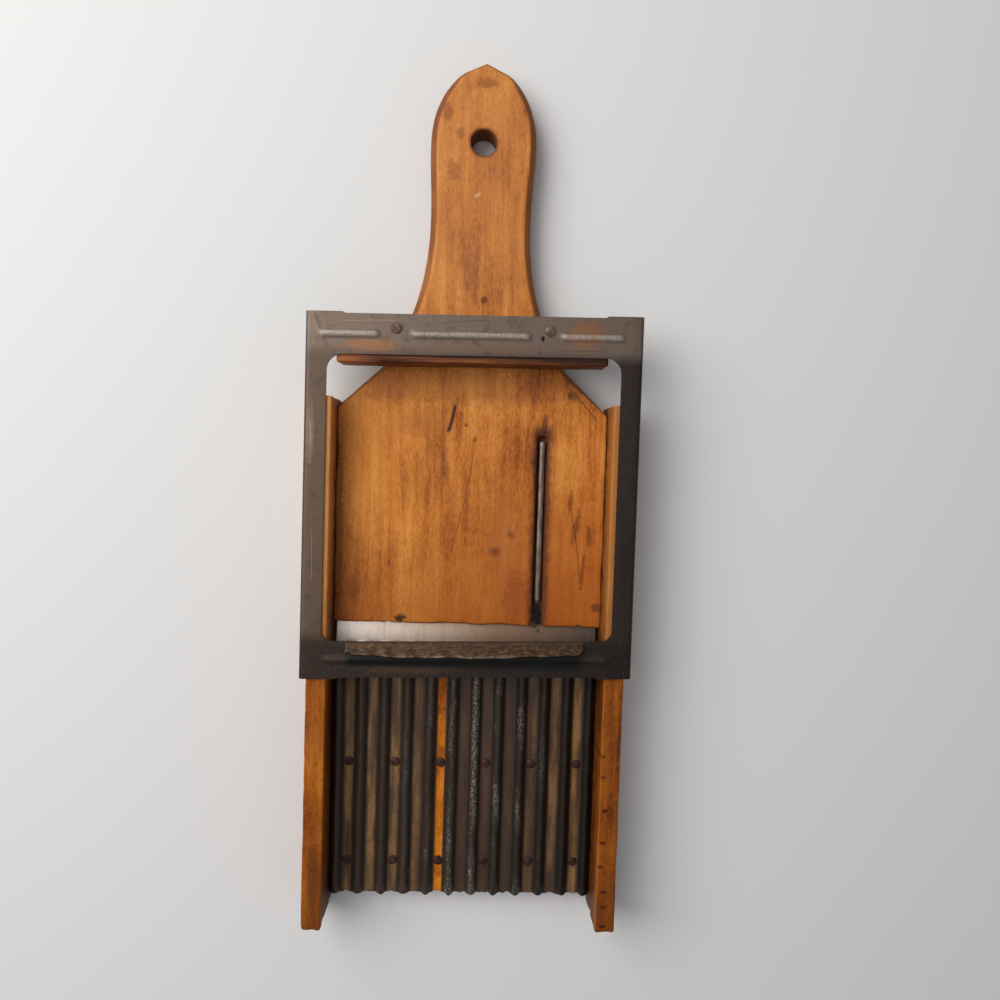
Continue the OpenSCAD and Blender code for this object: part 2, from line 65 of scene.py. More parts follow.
# Camera, light and floor
def make_camera():
    data = bpy.data.cameras.new("camera")
    data.sensor_width = 36
    data.lens = CAMERA_LENS
    data.clip_start = 0.01
    camera = bpy.data.objects.new("camera", data)
    rx, ry, rz = (math.radians(a) for a in CAMERA_TURNS)
    turn = Matrix.Rotation(rz, 4, "Z") @ Matrix.Rotation(rx, 4, "X") @ Matrix.Rotation(ry, 4, "Y")
    camera.matrix_world = Matrix.Translation(Vector(CAMERA_PLACE) * MM) @ turn
    bpy.context.scene.collection.objects.link(camera)
    bpy.context.scene.camera = camera


def area_light(name, place, target, size, power, colour):
    data = bpy.data.lights.new(name, "AREA")
    data.shape = "RECTANGLE"
    data.size, data.size_y = size
    data.energy = power
    data.color = colour
    lamp = bpy.data.objects.new(name, data)
    direction = Vector(target) - Vector(place)
    turn = direction.to_track_quat("-Z", "Y").to_matrix().to_4x4()
    lamp.matrix_world = Matrix.Translation(Vector(place)) @ turn
    bpy.context.scene.collection.objects.link(lamp)


def make_lights():
    area_light("window", (-0.60, 0.38, 0.66), (0, 0, 0), (0.9, 0.7), 8.4, (1.0, 0.985, 0.96))
    area_light("sky", (-0.25, 0.12, 1.00), (0, 0, 0), (0.5, 0.6), 1.2, (1.0, 0.99, 0.97))
    world = bpy.data.worlds.new("world")
    bpy.context.scene.world = world
    world.use_nodes = True
    world.node_tree.nodes["Background"].inputs["Color"].default_value = (0.93, 0.95, 1.0, 1)
    world.node_tree.nodes["Background"].inputs["Strength"].default_value = 0.28


def make_floor():
    size = 1.6
    mesh = bpy.data.meshes.new("floor")
    corners = [(-size, -size, 0), (size, -size, 0), (size, size, 0), (-size, size, 0)]
    mesh.from_pydata(corners, [], [(0, 1, 2, 3)])
    floor = bpy.data.objects.new("floor", mesh)
    bpy.context.scene.collection.objects.link(floor)
    material = bpy.data.materials.new("floor")
    material.use_nodes = True
    shader = material.node_tree.nodes["Principled BSDF"]
    shader.inputs["Base Color"].default_value = (0.78, 0.77, 0.76, 1)
    shader.inputs["Roughness"].default_value = 0.9
    mesh.materials.append(material)


# Small tools for node materials
def linear(colour):
    """An sRGB colour of 0 to 255 as linear values."""
    return tuple((c / 255 / 12.92) if c <= 10 else ((c / 255 + 0.055) / 1.055) ** 2.4 for c in colour)


class Paint:
    """A material under construction. Each method adds a node and returns its output socket."""

    def __init__(self, name):
        self.material = bpy.data.materials.new(name)
        self.material.use_nodes = True
        self.nodes = self.material.node_tree.nodes
        self.links = self.material.node_tree.links
        self.shader = self.nodes["Principled BSDF"]
        coordinates = self.nodes.new("ShaderNodeTexCoord")
        self.place = self.vector("MULTIPLY", coordinates.outputs["Object"], (1 / MM,) * 3)
        split = self.nodes.new("ShaderNodeSeparateXYZ")
        self.links.new(self.place, split.inputs[0])
        self.x, self.y, self.z = split.outputs
        self.normal = coordinates.outputs["Normal"]
        facing = self.nodes.new("ShaderNodeSeparateXYZ")
        self.links.new(self.normal, facing.inputs[0])
        self.nx, self.ny, self.nz = facing.outputs
        self.rag = None

    def plug(self, value, socket):
        if hasattr(value, "is_output"):
            self.links.new(value, socket)
        elif isinstance(value, (int, float)):
            socket.default_value = value
        else:
            socket.default_value = tuple(value) + (1,) * (len(socket.default_value) - len(value))

    def vector(self, operation, a, b=(0, 0, 0)):
        node = self.nodes.new("ShaderNodeVectorMath")
        node.operation = operation
        self.plug(a, node.inputs[0])
        self.plug(b, node.inputs[1])
        return node.outputs["Value" if operation in ("LENGTH", "DISTANCE", "DOT_PRODUCT") else "Vector"]

    def math(self, operation, a, b=0.0, clamp=False):
        node = self.nodes.new("ShaderNodeMath")
        node.operation = operation
        node.use_clamp = clamp
        self.plug(a, node.inputs[0])
        self.plug(b, node.inputs[1])
        return node.outputs[0]

    def add(self, a, b):
        return self.math("ADD", a, b)

    def minus(self, a, b):
        return self.math("SUBTRACT", a, b)

    def times(self, a, b):
        return self.math("MULTIPLY", a, b)

    def step(self, value, low, high, smooth=True):
        """0 below low and 1 above high; low may be the larger."""
        node = self.nodes.new("ShaderNodeMapRange")
        node.interpolation_type = "SMOOTHSTEP" if smooth else "LINEAR"
        self.plug(value, node.inputs["Value"])
        if low < high:
            ends = (low, high, 0.0, 1.0)
        else:
            ends = (high, low, 1.0, 0.0)
        for name, end in zip(("From Min", "From Max", "To Min", "To Max"), ends):
            node.inputs[name].default_value = end
        return node.outputs["Result"]

    def band(self, value, low, high, soft):
        return self.times(self.step(value, low - soft, low), self.step(value, high + soft, high))

    def stretched(self, scale, shift=(0, 0, 0)):
        return self.vector("ADD", self.vector("MULTIPLY", self.place, scale), shift)

    def noise(self, scale, detail=4.0, roughness=0.55, shift=(0, 0, 0), twist=0.0):
        """Noise whose features are about 1 / scale millimetres long on each axis."""
        scale = (scale,) * 3 if isinstance(scale, (int, float)) else scale
        node = self.nodes.new("ShaderNodeTexNoise")
        self.plug(self.stretched(scale, shift), node.inputs["Vector"])
        node.inputs["Scale"].default_value = 1.0
        node.inputs["Detail"].default_value = detail
        node.inputs["Roughness"].default_value = roughness
        node.inputs["Distortion"].default_value = twist
        return node.outputs["Fac"]

    def mix(self, share, a, b, blend="MIX"):
        node = self.nodes.new("ShaderNodeMix")
        node.data_type = "RGBA"
        node.blend_type = blend
        node.clamp_factor = True
        self.plug(share, node.inputs[0])
        self.plug(a, node.inputs[6])
        self.plug(b, node.inputs[7])
        return node.outputs[2]

    def ramp(self, value, stops):
        """Colour along value: stops are (place, sRGB colour)."""
        node = self.nodes.new("ShaderNodeValToRGB")
        self.plug(value, node.inputs[0])
        elements = node.color_ramp.elements
        while len(elements) < len(stops):
            elements.new(0.5)
        for element, (place, colour) in zip(elements, stops):
            element.position = place
            element.color = linear(colour) + (1,)
        return node.outputs[0]

    def line(self, x0, y0, x1, y1, bend=0.0):
        """Distance across and share along a gently bent line on the plan, in millimetres."""
        length = math.hypot(x1 - x0, y1 - y0)
        ux, uy = (x1 - x0) / length, (y1 - y0) / length
        dx, dy = self.minus(self.x, x0), self.minus(self.y, y0)
        along = self.math("DIVIDE", self.add(self.times(dx, ux), self.times(dy, uy)), length)
        across = self.add(self.times(dx, -uy), self.times(dy, ux))
        if bend:
            bow = self.times(self.times(along, self.minus(1.0, along)), 4 * bend)
            across = self.minus(across, bow)
        return self.math("ABSOLUTE", across), along

    def scratch(self, x0, y0, x1, y1, width, bend=0.0, ends=0.12):
        across, along = self.line(x0, y0, x1, y1, bend)
        return self.times(self.step(across, width, width * 0.35), self.band(along, ends, 1 - ends, ends))

    def blot(self, x, y, half_w, half_l, turn=0.0, ragged=0.8, soft=0.5):
        """A soft-edged mark on the plan, for stains and for painted shade: an ellipse with a ragged edge."""
        c, s = math.cos(math.radians(turn)), math.sin(math.radians(turn))
        dx, dy = self.minus(self.x, x), self.minus(self.y, y)
        u = self.math("DIVIDE", self.add(self.times(dx, c), self.times(dy, s)), half_w)
        v = self.math("DIVIDE", self.minus(self.times(dy, c), self.times(dx, s)), half_l)
        reach = self.math("SQRT", self.add(self.times(u, u), self.times(v, v)))
        self.rag = self.rag or self.minus(self.noise(0.6, 4.0), 0.5)
        edge = self.times(self.rag, 2 * ragged)
        return self.step(self.add(reach, edge), 1.0 + soft / 2, 1.0 - soft)

    def finish(self, colour, roughness, height=None, relief=0.1, metallic=0.0, specular=0.5):
        """Closes the material: relief is the height in millimetres that the bump's 0 to 1 stands for."""
        self.plug(colour, self.shader.inputs["Base Color"])
        self.plug(roughness, self.shader.inputs["Roughness"])
        self.plug(metallic, self.shader.inputs["Metallic"])
        self.shader.inputs["Specular IOR Level"].default_value = specular
        if height is not None:
            bump = self.nodes.new("ShaderNodeBump")
            bump.inputs["Distance"].default_value = relief * MM
            self.plug(height, bump.inputs["Height"])
            self.links.new(bump.outputs[0], self.shader.inputs["Normal"])
        return self.material


# Small tools for meshes
def smooth_noise(points, wavelength, seed, waves=16):
    """Smooth noise of about -1 to 1 at each point, from waves in random directions."""
    rng = np.random.default_rng(seed)
    directions = rng.normal(size=(waves, points.shape[1]))
    directions /= np.linalg.norm(directions, axis=1)[:, None]
    steps = 2 * math.pi / (wavelength * rng.uniform(0.6, 1.6, waves))
    phases = rng.uniform(0, 2 * math.pi, waves)
    return np.sin(points @ (directions * steps[:, None]).T + phases).sum(axis=1) / math.sqrt(waves)


def ramp01(values, low, high):
    t = np.clip((values - low) / (high - low), 0, 1)
    return t * t * (3 - 2 * t)


def mesh_object(name, points, faces, smooth=True):
    """A mesh object from points in millimetres."""
    mesh = bpy.data.meshes.new(name)
    mesh.from_pydata((np.asarray(points, float) * MM).tolist(), [], [list(map(int, f)) for f in faces])
    mesh.validate()
    mesh.update()
    if smooth:
        mesh.polygons.foreach_set("use_smooth", np.ones(len(mesh.polygons), bool))
    piece = bpy.data.objects.new(name, mesh)
    bpy.context.scene.collection.objects.link(piece)
    return piece


def bake_modifiers(piece):
    """Applies the piece's modifiers to its mesh."""
    graph = bpy.context.evaluated_depsgraph_get()
    mesh = bpy.data.meshes.new_from_object(piece.evaluated_get(graph))
    piece.modifiers.clear()
    piece.data = mesh
    mesh.name = piece.name


def points_of(piece):
    points = np.empty(len(piece.data.vertices) * 3, np.float32)
    piece.data.vertices.foreach_get("co", points)
    return points.reshape(-1, 3).astype(float) / MM


def set_points(piece, points):
    piece.data.vertices.foreach_set("co", (points * MM).astype(np.float32).ravel())
    piece.data.update()


def normals_of(piece):
    normals = np.empty(len(piece.data.vertices) * 3, np.float32)
    piece.data.vertex_normals.foreach_get("vector", normals)
    return normals.reshape(-1, 3).astype(float)


def relaxed(points, edges, rounds):
    """Points moved towards the mean of their neighbours, round after round."""
    count = np.bincount(edges.ravel(), minlength=len(points))[:, None]
    for _ in range(rounds):
        total = np.zeros_like(points)
        for axis in range(3):
            total[:, axis] = np.bincount(edges[:, 0], points[edges[:, 1], axis], len(points))
            total[:, axis] += np.bincount(edges[:, 1], points[edges[:, 0], axis], len(points))
        points = points + 0.6 * (total / np.maximum(count, 1) - points)
    return points


def auto_smooth(piece, degrees):
    """Shades smoothly, with sharp edges over the angle."""
    piece.data.polygons.foreach_set("use_smooth", np.ones(len(piece.data.polygons), bool))
    piece.data.set_sharp_from_angle(angle=math.radians(degrees))


def dress(piece, body, slot, material, *nodes):
    piece.data.materials.clear()
    piece.data.materials.append(material)
    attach(piece, body)
    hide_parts(*nodes)


def worn_solid(name, node, voxel, seed, wear=1.0, shape=None, keep=0.4):
    """A closed copy of a CAD node with rounded, unevenly worn edges. shape moves its points further."""
    piece = bpy.data.objects.new(name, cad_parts[node].data.copy())
    bpy.context.scene.collection.objects.link(piece)
    remesh = piece.modifiers.new("remesh", "REMESH")
    remesh.mode = "VOXEL"
    remesh.voxel_size = voxel * MM
    bake_modifiers(piece)
    count = len(piece.data.edges)
    edges = np.empty(count * 2, np.int32)
    piece.data.edges.foreach_get("vertices", edges)
    edges = edges.reshape(-1, 2)
    crisp = relaxed(points_of(piece), edges, 2)
    soft = relaxed(crisp, edges, 14)
    share = np.clip(0.35 + 0.45 * smooth_noise(crisp, 14, seed), 0, 1) * wear
    points = crisp + (soft - crisp) * np.clip(share, 0, 1)[:, None]
    set_points(piece, points)
    if shape:
        set_points(piece, shape(points, normals_of(piece)))
    if keep < 1:
        decimate = piece.modifiers.new("decimate", "DECIMATE")
        decimate.ratio = keep
        bake_modifiers(piece)
    auto_smooth(piece, 60)
    low, high = node_box(node)
    set_points(piece, np.clip(points_of(piece), low, high))
    return piece


def lathe(profile, segments, place, axis, seed=0, rough=0.0):
    """Points and faces of a solid of revolution, whose profile is (radius, height) from the far end on."""
    axis = Vector(axis).normalized()
    turn = axis.to_track_quat("Z", "Y").to_matrix()
    angles = np.arange(segments) * 2 * math.pi / segments
    circle = np.array([[math.cos(a), math.sin(a)] for a in angles])
    wobble = 1 + rough * smooth_noise(circle, 2.5, seed)
    points = []
    for radius, height in profile:
        for k in range(segments):
            a = 2 * math.pi * k / segments
            r = radius * wobble[k]
            points.append(list(turn @ Vector((r * math.cos(a), r * math.sin(a), height)) + Vector(place)))
    faces = []
    for ring in range(len(profile) - 1):
        for k in range(segments):
            a, b = ring * segments + k, ring * segments + (k + 1) % segments
            faces.append((a, b, b + segments, a + segments))
    faces.append(tuple(range(segments))[::-1])
    faces.append(tuple(range((len(profile) - 1) * segments, len(profile) * segments)))
    return points, faces


def joined(parts):
    """One list of points and one of faces from several."""
    points, faces = [], []
    for more_points, more_faces in parts:
        start = len(points)
        points += list(more_points)
        faces += [tuple(i + start for i in f) for f in more_faces]
    return points, faces


# Driving sizes, from the CAD nodes and a few of the sheet metal's own
board_low, board_high = node_box("handle_board")
rail_high = node_box("right_rail")[1]
blade_low, blade_high = node_box("blade")
rod_low, rod_high = node_box("board_rod")
bed_low, bed_high = node_box("bed_board")
frame_low, frame_high = node_box("carriage_frame")
left_plate_low, left_plate_high = node_box("left_ridged_plate")
right_plate_low, right_plate_high = node_box("right_ridged_plate")

SHEET = 0.8
SLIDE_GAP = 0.1
SHEET_TOP = rail_high[2] + SLIDE_GAP + SHEET
FRAME_SKEW = math.tan(math.radians(1.1))
HALF_W = frame_high[0]
FRAME_LOW_Y = frame_low[1] + HALF_W * FRAME_SKEW
FRAME_HIGH_Y = frame_high[1] - HALF_W * FRAME_SKEW
SIDE_STRIP_W = 8.3
LOWER_BAR_W = 14.8
UPPER_BAR_W = 16
WINDOW_HALF_W = HALF_W - SIDE_STRIP_W
WINDOW_LOW_Y = FRAME_LOW_Y + LOWER_BAR_W
WINDOW_HIGH_Y = FRAME_HIGH_Y - UPPER_BAR_W
LOW_CORNER_R = 4
HIGH_CORNER_R = 6
EDGE_STEP = 0.6
EDGE_STEP_X = HALF_W - 14
BEND_R = 1.8
RUNNER_Z = frame_low[2] + SHEET / 2
RUNNER_REACH = 4.6
RUNNER_IN_X = HALF_W - RUNNER_REACH
RUNNER_INSET = 6.5
RUNNER_BEND = 0.6
LIP_X0, LIP_X1 = -46.6, 45.0
LIP_BEND = 0.6
LIP_SLOPE = math.radians(26)
LIP_SLIT = 0.5
RIB_W = 4.2
RIBS = [(-59.6, -36.0, WINDOW_HIGH_Y + 7.8, 0.72), (-25.2, 21.4, WINDOW_HIGH_Y + 7.8, 0.72),
        (31.8, 57.6, WINDOW_HIGH_Y + 7.8, 0.72), (-56, 56, WINDOW_LOW_Y - 7.2, 0.45)]
PLATE_T = 0.5
HEAD_T = 0.7
RIDGES = 12
RIDGE_PITCH = (right_plate_high[0] - left_plate_low[0]) / (RIDGES - 0.5)
RIDGE_W = RIDGE_PITCH - 4
RIDGE_H = left_plate_high[2] - bed_high[2] - PLATE_T
BLADE_TILT = math.radians(8)
BLADE_T = 1.2
BLADE_EDGE_T = 0.25
BLADE_DEPTH = 28.5
GROUND_W = 2
THROAT = 5
RIPPLE_LEN = 6
RIPPLE_H = 1.2


# Sheet-metal frame, laid out flat and then folded
def densified(corners, step):
    """Points along a closed outline, at most a step apart."""
    points = []
    for (x0, y0), (x1, y1) in zip(corners, corners[1:] + corners[:1]):
        count = max(1, math.ceil(math.hypot(x1 - x0, y1 - y0) / step))
        points += [(x0 + (x1 - x0) * k / count, y0 + (y1 - y0) * k / count) for k in range(count)]
    return points


def inside(points, corners):
    """Which points lie inside a closed outline."""
    x, y = points[:, 0], points[:, 1]
    found = np.zeros(len(points), bool)
    for (x0, y0), (x1, y1) in zip(corners, corners[1:] + corners[:1]):
        if y0 != y1:
            found ^= ((y0 > y) != (y1 > y)) & (x < (x1 - x0) * (y - y0) / (y1 - y0) + x0)
    return found


def arc(x, y, radius, start, end, steps=8):
    angles = np.radians(np.linspace(start, end, steps + 1))
    return [(x + radius * math.cos(a), y + radius * math.sin(a)) for a in angles]


def fold_lengths():
    """Where each stretch of the unfolded sheet ends, outwards from its middle."""
    flat = HALF_W - BEND_R
    bend = flat + (BEND_R - SHEET / 2) * math.pi / 2
    side = bend + (SHEET_TOP - BEND_R) - (RUNNER_Z + RUNNER_BEND)
    turn = side + RUNNER_BEND * math.pi / 2
    lip = turn + (HALF_W - SHEET / 2 - RUNNER_BEND) - RUNNER_IN_X
    return flat, bend, side, turn, lip


def lip_reach(x):
    """Length of the turned-up lip past its bend, with a wavy and nicked free edge."""
    middle = (LIP_X0 + LIP_X1) / 2
    t = (x - middle) / (LIP_X1 - LIP_X0) * 2
    wave = 0.18 * math.sin(x / 5.1) + 0.14 * math.sin(x / 2.3 + 1)
    corner = 2.2 * max(0, (x - LIP_X1 + 2.5) / 2.5) ** 2
    notch = 0.9 * math.exp(-((x - LIP_X0 - 1.2) / 0.9) ** 2)
    return 4.1 + 1.6 * math.cos(t * math.pi / 2) ** 0.8 + wave - corner - notch


def frame_outlines():
    _, _, side, _, lip = fold_lengths()
    low, high, relief, corner = FRAME_LOW_Y, FRAME_HIGH_Y, EDGE_STEP, EDGE_STEP_X
    outer = [(-lip, low + RUNNER_INSET), (-side, low + RUNNER_INSET), (-side, low), (-corner, low),
             (-corner + 1, low + relief), (corner - 1, low + relief), (corner, low), (side, low),
             (side, low + RUNNER_INSET), (lip, low + RUNNER_INSET), (lip, high - RUNNER_INSET),
             (side, high - RUNNER_INSET), (side, high), (corner, high), (corner - 1, high - relief),
             (-corner + 1, high - relief), (-corner, high), (-side, high), (-side, high - RUNNER_INSET),
             (-lip, high - RUNNER_INSET)]
    w, top, bottom = WINDOW_HALF_W, WINDOW_HIGH_Y, WINDOW_LOW_Y
    start = bottom - LIP_BEND - SHEET / 2
    straight = start + LIP_BEND * (math.pi - LIP_SLOPE)
    free_edge = [(float(x), straight + lip_reach(x)) for x in np.linspace(LIP_X0, LIP_X1, 90)]
    r, high_r = LOW_CORNER_R, HIGH_CORNER_R
    window = arc(-w + r, bottom + r, r, 180, 270)
    window += [(LIP_X0 - LIP_SLIT, bottom), (LIP_X0 - LIP_SLIT, start - 0.2), (LIP_X0, start - 0.2)]
    window += free_edge
    window += [(LIP_X1, start - 0.2), (LIP_X1 + LIP_SLIT, start - 0.2), (LIP_X1 + LIP_SLIT, bottom)]
    window += arc(w - r, bottom + r, r, 270, 360)
    window += arc(w - high_r, top - high_r, high_r, 0, 90)
    window += arc(-w + high_r, top - high_r, high_r, 90, 180)
    return outer, window, start


def flat_mesh(outer, window, columns, rows):
    """Triangles that fill the outline round the window, as points and faces on the flat sheet."""
    border, hole = densified(outer, 0.7), densified(window, 0.55)
    tree = KDTree(len(border) + len(hole))
    for k, point in enumerate(border + hole):
        tree.insert((point[0], point[1], 0), k)
    tree.balance()
    grid = np.array([(x, y) for x in columns for y in rows])
    grid = grid[inside(grid, outer) & ~inside(grid, window)]
    grid = [tuple(p) for p in grid.tolist() if tree.find((p[0], p[1], 0))[2] > 0.22]
    count, total = len(border), len(border) + len(hole)
    edges = [(k, (k + 1) % count) for k in range(count)]
    edges += [(k, k + 1 if k + 1 < total else count) for k in range(count, total)]
    points, _, faces, *_ = delaunay_2d_cdt([Vector(p) for p in border + hole + grid], edges, [], 0, 1e-5)
    points = np.array([tuple(p) for p in points])
    faces = np.array(faces)
    middles = points[faces].mean(axis=1)
    return points, faces[inside(middles, outer) & ~inside(middles, window)]


def embossed(x, y):
    """Height of the ribs, the corner crease and the gentle unevenness of the top sheet."""
    height = 0.05 * (1 + smooth_noise(np.column_stack([x, y]), 30, 5))
    for x0, x1, middle, rise in RIBS:
        past = np.maximum(0, np.maximum(x0 + RIB_W / 2 - x, x - x1 + RIB_W / 2))
        height += rise * ramp01(RIB_W / 2 - np.hypot(past, y - middle), 0, RIB_W / 2)
    crease = np.abs((x + 59.5) * 0.93 + (y - 64.0) * 0.36)
    height += 0.25 * ramp01(0.9 - crease, 0, 0.9) * ramp01(7.5 - np.abs(y - 64.5), 0, 2)
    return height


def folded_points(flat_points, lip_start):
    """The flat sheet's points, folded at the sides and at the lip."""
    u, v = flat_points.T
    flat, bend, side, turn, _ = fold_lengths()
    sign, a = np.sign(u), np.abs(u)
    radius, bend_z = BEND_R - SHEET / 2, SHEET_TOP - BEND_R
    angle = np.clip((a - flat) / radius, 0, math.pi / 2)
    x = np.minimum(a, flat) + radius * np.sin(angle)
    z = bend_z + radius * np.cos(angle) - np.clip(a - bend, 0, side - bend)
    angle = np.clip((a - side) / RUNNER_BEND, 0, math.pi / 2)
    x += RUNNER_BEND * (np.cos(angle) - 1) - np.maximum(0, a - turn)
    z -= RUNNER_BEND * np.sin(angle)
    z += embossed(u, v) * ramp01(flat - a, 0, 2)
    y = v.copy()
    s = v - lip_start
    tab = (u > LIP_X0 - LIP_SLIT / 2) & (u < LIP_X1 + LIP_SLIT / 2) & (s > 0) & (s < 12)
    angle = np.clip(s / LIP_BEND, 0, math.pi - LIP_SLOPE)
    past = np.maximum(0, s - LIP_BEND * (math.pi - LIP_SLOPE))
    sag = 0.15 * smooth_noise(u[:, None], 9, 8) * np.clip(past / 5, 0, 1)
    lip_y = lip_start + LIP_BEND * np.sin(angle) - past * math.cos(LIP_SLOPE)
    lip_z = SHEET_TOP - SHEET / 2 + LIP_BEND * (1 - np.cos(angle)) + past * math.sin(LIP_SLOPE) + sag
    y[tab], z[tab] = lip_y[tab], lip_z[tab]
    return np.column_stack([x * sign, y + x * sign * FRAME_SKEW, z])


def carriage_frame():
    flat, bend, side, turn, lip = fold_lengths()
    outer, window, lip_start = frame_outlines()
    half = [(0, flat, 0.8), (flat, bend, 0.3), (bend, side, 0.9), (side, turn, 0.2), (turn, lip, 1.1)]
    reach = np.concatenate([np.arange(a, b, step) for a, b, step in half])
    columns = np.concatenate([-reach[:0:-1], reach])
    spans = [(FRAME_LOW_Y, lip_start, 0.6), (lip_start, lip_start + 2, 0.25), (lip_start + 2, lip_start + 9, 0.8),
             (lip_start + 9, WINDOW_HIGH_Y, 1.3), (WINDOW_HIGH_Y, FRAME_HIGH_Y, 0.6)]
    rows = np.concatenate([np.arange(a, b, step) for a, b, step in spans])
    points, faces = flat_mesh(outer, window, columns, rows)
    piece = mesh_object("sheet_frame", folded_points(points, lip_start), faces)
    sheet = piece.modifiers.new("sheet", "SOLIDIFY")
    sheet.thickness = SHEET * MM
    sheet.offset = 0
    bake_modifiers(piece)
    points = points_of(piece)
    set_points(piece, np.clip(points, frame_low, frame_high))
    auto_smooth(piece, 50)
    dress(piece, "carriage", "frame_tin", frame_tin(), "carriage_frame")


# Ridged plates
def ridge_x(i):
    return (i - (RIDGES - 1) / 2) * RIDGE_PITCH


def plate_lift(x):
    nearest = ridge_x(np.round(x / RIDGE_PITCH + (RIDGES - 1) / 2))
    away = np.abs(x - nearest)
    lift = RIDGE_H * ((1 + np.cos(2 * math.pi * away / RIDGE_W)) / 2) ** 0.8
    return np.where(away < RIDGE_W / 2, lift, 0)


def ridged_plate(name, node, low, high, seed, material):
    columns = np.linspace(low[0], high[0], round((high[0] - low[0]) / 0.34))
    rows = np.linspace(0, 1, 84)
    x, t = (grid.ravel() for grid in np.meshgrid(columns, rows))
    ragged = 0.25 * (1 + smooth_noise(x[:, None], 4, seed))
    y = low[1] + ragged * (1 - t) ** 8 + (high[1] - low[1]) * t
    places = np.column_stack([x, y])
    wear = 1 - 0.035 * (1 + smooth_noise(places, 11, seed + 1))
    lift = plate_lift(x) * wear
    x = x + 0.16 * smooth_noise(np.column_stack([x / 3, y]), 16, seed + 2) * lift / RIDGE_H
    x = np.clip(x, low[0], high[0])
    z = bed_high[2] + PLATE_T / 2 + lift
    count = len(columns)
    faces = [(r * count + c, r * count + c + 1, (r + 1) * count + c + 1, (r + 1) * count + c)
             for r in range(len(rows) - 1) for c in range(count - 1)]
    piece = mesh_object(name, np.column_stack([x, y, z]), faces)
    sheet = piece.modifiers.new("sheet", "SOLIDIFY")
    sheet.thickness = PLATE_T * MM
    sheet.offset = 0
    bake_modifiers(piece)
    auto_smooth(piece, 50)
    dress(piece, "base", "ridged_tin", material, node)


# Blade, with its rippled and ground edge
def blade():
    edge_y, edge_z = bed_high[1] + THROAT, board_high[2]
    half = (blade_high[0] - blade_low[0]) / 2
    columns = np.linspace(-half, half, 12 * 18 + 1)
    spans = [(0, GROUND_W, 5), (2.5, RIPPLE_LEN, 8), (7, BLADE_DEPTH, 20)]
    rows = np.concatenate([np.linspace(a, b, count) for a, b, count in spans])
    x, s = (grid.ravel() for grid in np.meshgrid(columns, rows))
    ripple = np.cos(2 * math.pi * (x / RIDGE_PITCH + (RIDGES % 2) / 2 + 0.5))
    fade = np.where(s < RIPPLE_LEN / 2, 1, (1 + np.cos(math.pi * (2 * s / RIPPLE_LEN - 1))) / 2)
    fade = np.where(s < RIPPLE_LEN, fade, 0)
    upper = RIPPLE_H * fade * ripple
    ground = BLADE_EDGE_T + (BLADE_T - BLADE_EDGE_T) * s / GROUND_W
    thick = np.where(s < GROUND_W, ground, BLADE_T)
    points = []
    for z in (upper, upper - thick):
        y_world = edge_y + s * math.cos(BLADE_TILT) + z * math.sin(BLADE_TILT)
        z_world = edge_z - s * math.sin(BLADE_TILT) + z * math.cos(BLADE_TILT)
        points.append(np.column_stack([x, y_world, z_world]))
    points = np.concatenate(points)
    n, last, under = len(columns), len(rows) - 1, len(columns) * len(rows)
    faces = []
    for r in range(last):
        for c in range(n - 1):
            a = r * n + c
            faces.append((a, a + 1, a + n + 1, a + n))
            faces.append((under + a, under + a + n, under + a + n + 1, under + a + 1))
    for c in range(n - 1):
        faces.append((c, under + c, under + c + 1, c + 1))
        a = last * n + c
        faces.append((a, a + 1, under + a + 1, under + a))
    for r in range(last):
        a, b = r * n, r * n + n - 1
        faces.append((a, a + n, under + a + n, under + a))
        faces.append((b, under + b, under + b + n, b + n))
    piece = mesh_object("rippled_blade", points, faces)
    auto_smooth(piece, 35)
    dress(piece, "base", "blade_steel", blade_steel(), "blade")


# Rod and nails
def rod():
    radius, length = (rod_high[0] - rod_low[0]) / 2, rod_high[1] - rod_low[1]
    steps = np.linspace(0.6, length - 0.6, 70)
    uneven = 0.97 + 0.015 * smooth_noise(steps[:, None], 5, 21)
    profile = [(radius * 0.6, 0), (radius * 0.9, 0.25)]
    profile += [(radius * float(k), float(s)) for k, s in zip(uneven, steps)]
    profile += [(radius * 0.9, length - 0.25), (radius * 0.6, length)]
    place = ((rod_high[0] + rod_low[0]) / 2, rod_low[1], (rod_high[2] + rod_low[2]) / 2)
    points, faces = lathe(profile, 24, place, (0, 1, 0), 3, 0.012)
    piece = mesh_object("iron_rod", points, faces)
    auto_smooth(piece, 50)
    dress(piece, "base", "iron_rod", iron_rod(), "board_rod")


def nail_profile(head_d, length, dome=0.55):
    """Radius and height of a nail, from its point up to its slightly domed head."""
    r = head_d / 2
    return [(0.1, -length), (0.8, -length + 1.4), (0.8, 0), (r * 0.97, 0.0), (r, HEAD_T * 0.25),
            (r * 0.93, HEAD_T * dome), (r * 0.7, HEAD_T * 0.85), (r * 0.35, HEAD_T * 0.98), (0.05, HEAD_T)]


def nails(name, body, slot, material, node, places, axis, head_d, length, seed):
    profile = nail_profile(head_d, length)
    parts = [lathe(profile, 28, place, axis, seed + k, 0.03) for k, place in enumerate(places)]
    piece = mesh_object(name, *joined(parts))
    low, high = node_box(node)
    set_points(piece, np.clip(points_of(piece), low, high))
    auto_smooth(piece, 40)
    dress(piece, body, slot, material, node)


# Where the nails stand: Y of the bed's two rows from its ends, Y range of the board between the rails,
# and how far the outermost rail nails stand from the boards' ends
BED_ROW_LOW, BED_ROW_HIGH = 13.7, 39.7
BODY_END_Y, SHOULDER_Y = -51.5, 34.7
BODY_NAIL_IN, SHOULDER_NAIL_IN, BED_NAIL_IN = 22, 11, 12
CLEAT_NAIL_R = 2.2


